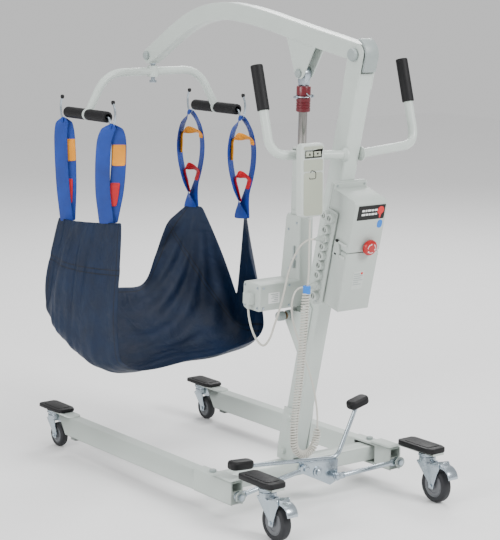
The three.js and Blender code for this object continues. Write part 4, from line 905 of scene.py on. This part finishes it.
def band(name, route, across, width, material, thick_mm=1.6, widths=None):
    """A strip of webbing along a route, with the way its width points at each place."""
    bm = bmesh.new()
    laid = bm.loops.layers.uv.new("cloth")
    rows = []
    run = 0.0
    for k, p in enumerate(route):
        if k:
            run += (p - route[k - 1]).length
        w = width * (widths(k / (len(route) - 1)) if widths else 1)
        side = across(k / (len(route) - 1)).normalized() * (w / 2)
        rows.append((run, [bm.verts.new(p - side), bm.verts.new(p), bm.verts.new(p + side)]))
    for (ra, a), (rb, b) in zip(rows, rows[1:]):
        for q in (0, 1):
            face = bm.faces.new((a[q], a[q + 1], b[q + 1], b[q]))
            corners = ((q, ra), (q + 1, ra), (q + 1, rb), (q, rb))
            for loop, (over, along) in zip(face.loops, corners):
                loop[laid].uv = (over * width / 2000, along / 1000)
    bmesh.ops.recalc_face_normals(bm, faces=bm.faces)
    obj = piece(name, bm, material, "spreader", sharp=80)
    wall = obj.modifiers.new("thickness", "SOLIDIFY")
    wall.thickness = thick_mm / 1000
    wall.offset = 0
    soft = obj.modifiers.new("soft", "SUBSURF")
    soft.levels = soft.render_levels = 1
    return obj


def narrow_top(t):
    """A strap gathers where it turns over its hook."""
    return 0.62 + 0.38 * min(1, t / 0.12) ** 0.8


HOOK_LOW = BAR_Z - 24 + 5
ALONG_BAR = Vector((0, 1, 0))
# How far a leg of the loop stands off from the line between hook and foot, at shares of its length.
OPEN_LOOP = ((0.0, 0.0), (0.05, 0.30), (0.14, 0.72), (0.30, 1.0), (0.46, 0.97), (0.62, 0.72), (0.78, 0.34),
             (0.9, 0.16), (1.0, 0.08))
FLAT_LOOP = ((0.0, 0.0), (0.05, 0.45), (0.14, 0.85), (0.30, 1.0), (0.50, 0.98), (0.70, 0.82), (0.86, 0.5),
             (1.0, 0.22))


def flat_turn(t):
    return ALONG_BAR.lerp(RIGHTWARDS, min(1, t / 0.16))


def edge_turn(way):
    """A leg seen on its edge turns from the hook to face inwards, and back at its foot."""
    edge_on = RIGHTWARDS * (0.40 * way) - INWARDS

    def turn(t):
        if t < 0.7:
            return ALONG_BAR.lerp(edge_on, min(1, t / 0.2))
        return edge_on.lerp(RIGHTWARDS * 0.9 - INWARDS * 0.3, (t - 0.7) / 0.3)
    return turn


def loop_turn(t):
    level = max(0, 1 - abs(t - 0.58) / 0.26)
    return (RIGHTWARDS * 0.5 - INWARDS).lerp(Vector((0, 0, 1)) - INWARDS * 0.5, level)


def strap(place, s, e, flat, foot_z=706, lean=0.0, spread=23, web=46):
    """The long blue loop of one corner, with its shorter yellow and red loops."""
    hook_at = Vector((s * BAR_X, HANGER_Y + e * 140, HOOK_LOW))
    foot = Vector((s * BAR_X + (4 if s > 0 else 0), HANGER_Y + e * 140, foot_z)) + RIGHTWARDS * lean

    def leg(way):
        aside = INWARDS * (way * (5 if flat else 1))
        return flow([hook_at.lerp(foot, t) + RIGHTWARDS * (way * spread * k) + aside
                     for t, k in (FLAT_LOOP if flat else OPEN_LOOP)], 5)

    def on(route, t):
        level = hook_at.z + (foot.z - hook_at.z) * t
        return min(route, key=lambda p: abs(p.z - level))

    left, right = leg(-1), leg(1)
    blue = [band(f"strap_{place}_{n}", route, flat_turn if flat else edge_turn(way), web, BLUE_WEB,
                 widths=narrow_top) for n, way, route in (("a", -1, left), ("b", 1, right))]
    over = [hook_at + Vector((x, 0, z)) for x, z in ((-9, -14), (-7, -3), (0, 1.5), (7, -3), (9, -14))]
    band(f"strap_{place}_top", flow(over, 4), lambda t: ALONG_BAR, 17, BLUE_WEB)
    for colour, material, high, low in (("yellow", GOLD_WEB, 0.21, 0.42), ("red", RED_WEB, 0.58, 0.82)):
        yellow = colour == "yellow"
        if flat:
            shift = RIGHTWARDS * (0 if yellow else -6)
            line = [on(right, high + (low - high) * q) + INWARDS * (-3.4 if q > 0.1 else 1) + shift
                    for q in (0, 0.12, 0.4, 0.7, 1)]
            band(f"loop_{colour}_{place}", flow(line, 4), lambda t: RIGHTWARDS, 42 if yellow else 30, material)
            continue
        a0, a1 = on(left, low), on(left, high + 0.03)
        b0, b1 = on(right, low - (0.10 if yellow else 0.02)), on(right, high + 0.04)
        lift = Vector((0, 0, 10 if yellow else 16))
        line = [a0 + RIGHTWARDS * 2.6, a0.lerp(a1, 0.55) + RIGHTWARDS * 2.8, a1 + RIGHTWARDS * 3.4,
                a1.lerp(b1, 0.22) + lift, a1.lerp(b1, 0.6) + lift * 0.9, b1 - RIGHTWARDS * 3.4,
                b1.lerp(b0, 0.5) - RIGHTWARDS * 2.8]
        band(f"loop_{colour}_{place}", flow(line, 5), loop_turn, 30, material)
    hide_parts(f"sling_strap_{place}")


strap("left_rear", 1, 1, True, foot_z=732, lean=-12)
strap("left_front", 1, -1, True, lean=10, spread=12, web=42)
strap("right_rear", -1, 1, False, spread=36)
strap("right_front", -1, -1, False, spread=36)

# ---------------- casters
# radius and width of the wheel, y of its axle and pin, z of the race; then the cover's ends, top and thickness
CASTERS = {"front": (37.5, 24, -1128, -1150, 103.5, (-1205, -1074, 128, 11)),
           "rear": (50, 28, 0, -38, 126.5, (-136, 10, 156, 15))}


def both_ways(profile):
    """A ring's profile, drawn on one side of the wheel, closed through the other side."""
    return profile + [(r, -a) for r, a in reversed(profile)]


def tyre(radius, half, centre):
    rim = radius * 0.70
    outer = [(radius, half - 8), (radius - 1.0, half - 4), (radius - 3.4, half - 1.2), (radius - 7, half),
             (rim + 1.5, half), (rim, half - 1)]
    return turned(both_ways(outer), "X", centre, 64, ring=True)


def wheel_disc(radius, half, centre):
    rim = radius * 0.70
    side = [(4.3, -half - 2), (8, -half - 2), (9, -half - 1), (9.5, -half + 3), (rim * 0.62, -half + 3.4),
            (rim * 0.66, -half + 1.6), (rim * 0.86, -half + 1.6), (rim * 0.9, -half + 3), (rim - 0.2, -half + 2.2)]
    return turned(both_ways(side), "X", centre, 48, ring=True)


def axle_nuts(out, centre):
    nut = [(0, out), (7, out), (7, out + 1), (5.4, out + 1.2), (5.4, out + 3.6), (4.6, out + 4.4),
           (0, out + 4.4)]
    return together(*[turned([(r, way * a) for r, a in nut], "X", centre, 24) for way in (1, -1)])


def swivel_race(x, y, z):
    profile = [(9, 0), (24.6, 0), (26.2, 1.6), (26.2, 3.6), (24.4, 4.4), (24.4, 6), (25.6, 6.8), (25.6, 8.6),
               (23, 9.4), (9, 9.4)]
    return turned(profile, "Z", (x, y, z), 44, ring=True)


def cover(x, front, back, top, thick):
    """The moulded cap on a leg's end, with a raised panel in its top."""
    right_half = [(24, front), (32.5, front + 10), (32.5, back - 22), (26, back - 5), (20, back)]
    outline = [(x + a, y) for a, y in right_half] + [(x - a, y) for a, y in reversed(right_half)]
    raised = rounded(44, back - front - 44, 6, x, (front + back) / 2)
    return together(prism(outline, thick, "Z", top - thick / 2, 3.2, 3),
                    prism(raised, 2.4, "Z", top + 0.2, 1, 2))


def brake_lever(x):
    outline = [(17, 119), (18, 106), (34, 106), (44, 105), (54, 101.5), (62, 95), (66, 86), (68, 79), (71, 80),
               (70.5, 88), (66, 98), (58, 106), (48, 111), (38, 113), (34, 118), (24, 120)]
    return prism(outline, 34, "X", x, 1.2, 2)


for side, s in SIDES:
    x = s * WHEEL_X
    for end, (radius, width, axle_y, pin_y, race_z, cap_sizes) in CASTERS.items():
        half, centre = width / 2, (x, axle_y, radius)
        wheel, fork = f"caster_wheel_{end}_{side}", f"caster_fork_{end}_{side}"
        piece(f"tyre_{end}_{side}", tyre(radius, half, centre), TYRE, wheel, stands_for=(wheel,))
        piece(f"hub_{end}_{side}", wheel_disc(radius, half, centre), HUB, wheel)
        piece(f"axle_nuts_{end}_{side}", axle_nuts(half + 6.5, centre), ZINC, fork)
        piece(f"swivel_race_{end}_{side}", swivel_race(x, pin_y, race_z), ZINC, fork)
        piece(f"cover_{end}_{side}", cover(x, *cap_sizes), BLACK, f"leg_{side}",
              stands_for=(f"caster_cover_{end}_{side}",))
    piece(f"brake_lever_{side}", brake_lever(x), ZINC, f"brake_pedal_{side}",
          stands_for=(f"brake_pedal_{side}",))

# ---------------- foot pedal
PEDAL_Y = -192
TIE_PINS = ((52, 114), (-60, 72))   # x and z on the crank
LEG_TIE = (283, 77)                 # and on the legs
plate = prism([(62, 129), (-74, 118), (-72, 56), (-46, 46), (64, 102)], 6, "Y", -185, 1, 2)
studs = []
for x, z in TIE_PINS:
    studs.append(turned([(0, -192), (9, -192), (9, -188), (6, -188), (6, -162), (0, -162)], "Y", (x, 0, z), 24))
    studs.append(turned([(0, -164.6), (9.5, -164.6), (9.5, -161), (7, -159.6), (0, -159.6)], "Y", (x, 0, z), 6))
rod_line = [(276, PEDAL_Y, 152), (218, PEDAL_Y, 147), (-78, PEDAL_Y, 118), (-152, PEDAL_Y, 266)]
hub_bolt = turned([(0, -182), (15, -182), (15, -179), (9, -178), (9, -173), (7, -171.5), (0, -171.5)], "Y",
                  (0, 0, 92), 28)
piece("pedal_plate", together(plate, *studs, bar(bend(rod_line, 26, 12), 6, 4), hub_bolt), ZINC, "pedal_crank",
      stands_for=("pedal_crank",))
for side, s in SIDES:
    at = (s * LEG_TIE[0], 0, LEG_TIE[1])
    piece(f"leg_washer_{side}", disc(15.4, -156.5, -155, "Y", at, 32), BOLT_CAP, f"leg_{side}")
    head = turned([(0, -155), (9.6, -155), (9.6, -151.2), (8, -150.4), (0, -150.4)], "Y", at, 6)
    piece(f"leg_bolt_head_{side}", head, ZINC, f"leg_{side}")
for side, x, z, w, tilt in (("left", 258, 152, 74, -4), ("right", -152, 264, 66, 14)):
    pad = prism(rounded(w, 40, 15, x, PEDAL_Y, 6), 25, "Z", z + 4, 8.4, 5)
    tilted = Matrix.Rotation(math.radians(tilt), 3, "Y")
    bmesh.ops.rotate(pad, verts=pad.verts, cent=(x, PEDAL_Y, z), matrix=tilted)
    piece(f"pedal_rubber_{side}", pad, BLACK, "pedal_crank",
          stands_for=(f"pedal_pad_{side}",))

# ---------------- floor and light
bm = bmesh.new()
bmesh.ops.create_grid(bm, x_segments=2, y_segments=2, size=9)
bmesh.ops.translate(bm, verts=bm.verts, vec=(0, 0, -0.0005))
floor = linked("floor", mesh_of("floor", bm))
floor.data.materials.append(finish("floor_paper", (0.92, 0.92, 0.92), 0.9, mottle=0.005, grain=0.02))
sky = bpy.data.worlds.new("studio")
sky.use_nodes = True
sky.node_tree.nodes["Background"].inputs["Color"].default_value = (1, 1, 1, 1)
sky.node_tree.nodes["Background"].inputs["Strength"].default_value = 0.72
bpy.context.scene.world = sky
LAMPS = (("key", (-1.4, 4.6, 4.0), 260, 1.8), ("fill", (4.8, 0.6, 2.4), 150, 2.2),
         ("rim", (-3.2, -3.0, 3.8), 110, 1.8), ("floor_wash", (0.0, -0.3, 5.2), 130, 4.0))
for name, place, power, size in LAMPS:
    lamp = linked(name, bpy.data.lights.new(name, "AREA"))
    lamp.data.energy = power
    lamp.data.size = size
    lamp.location = place
    lamp.rotation_euler = (Vector((0, 0, 0.7)) - Vector(place)).to_track_quat("-Z", "Y").to_euler()

bpy.context.view_layer.update()
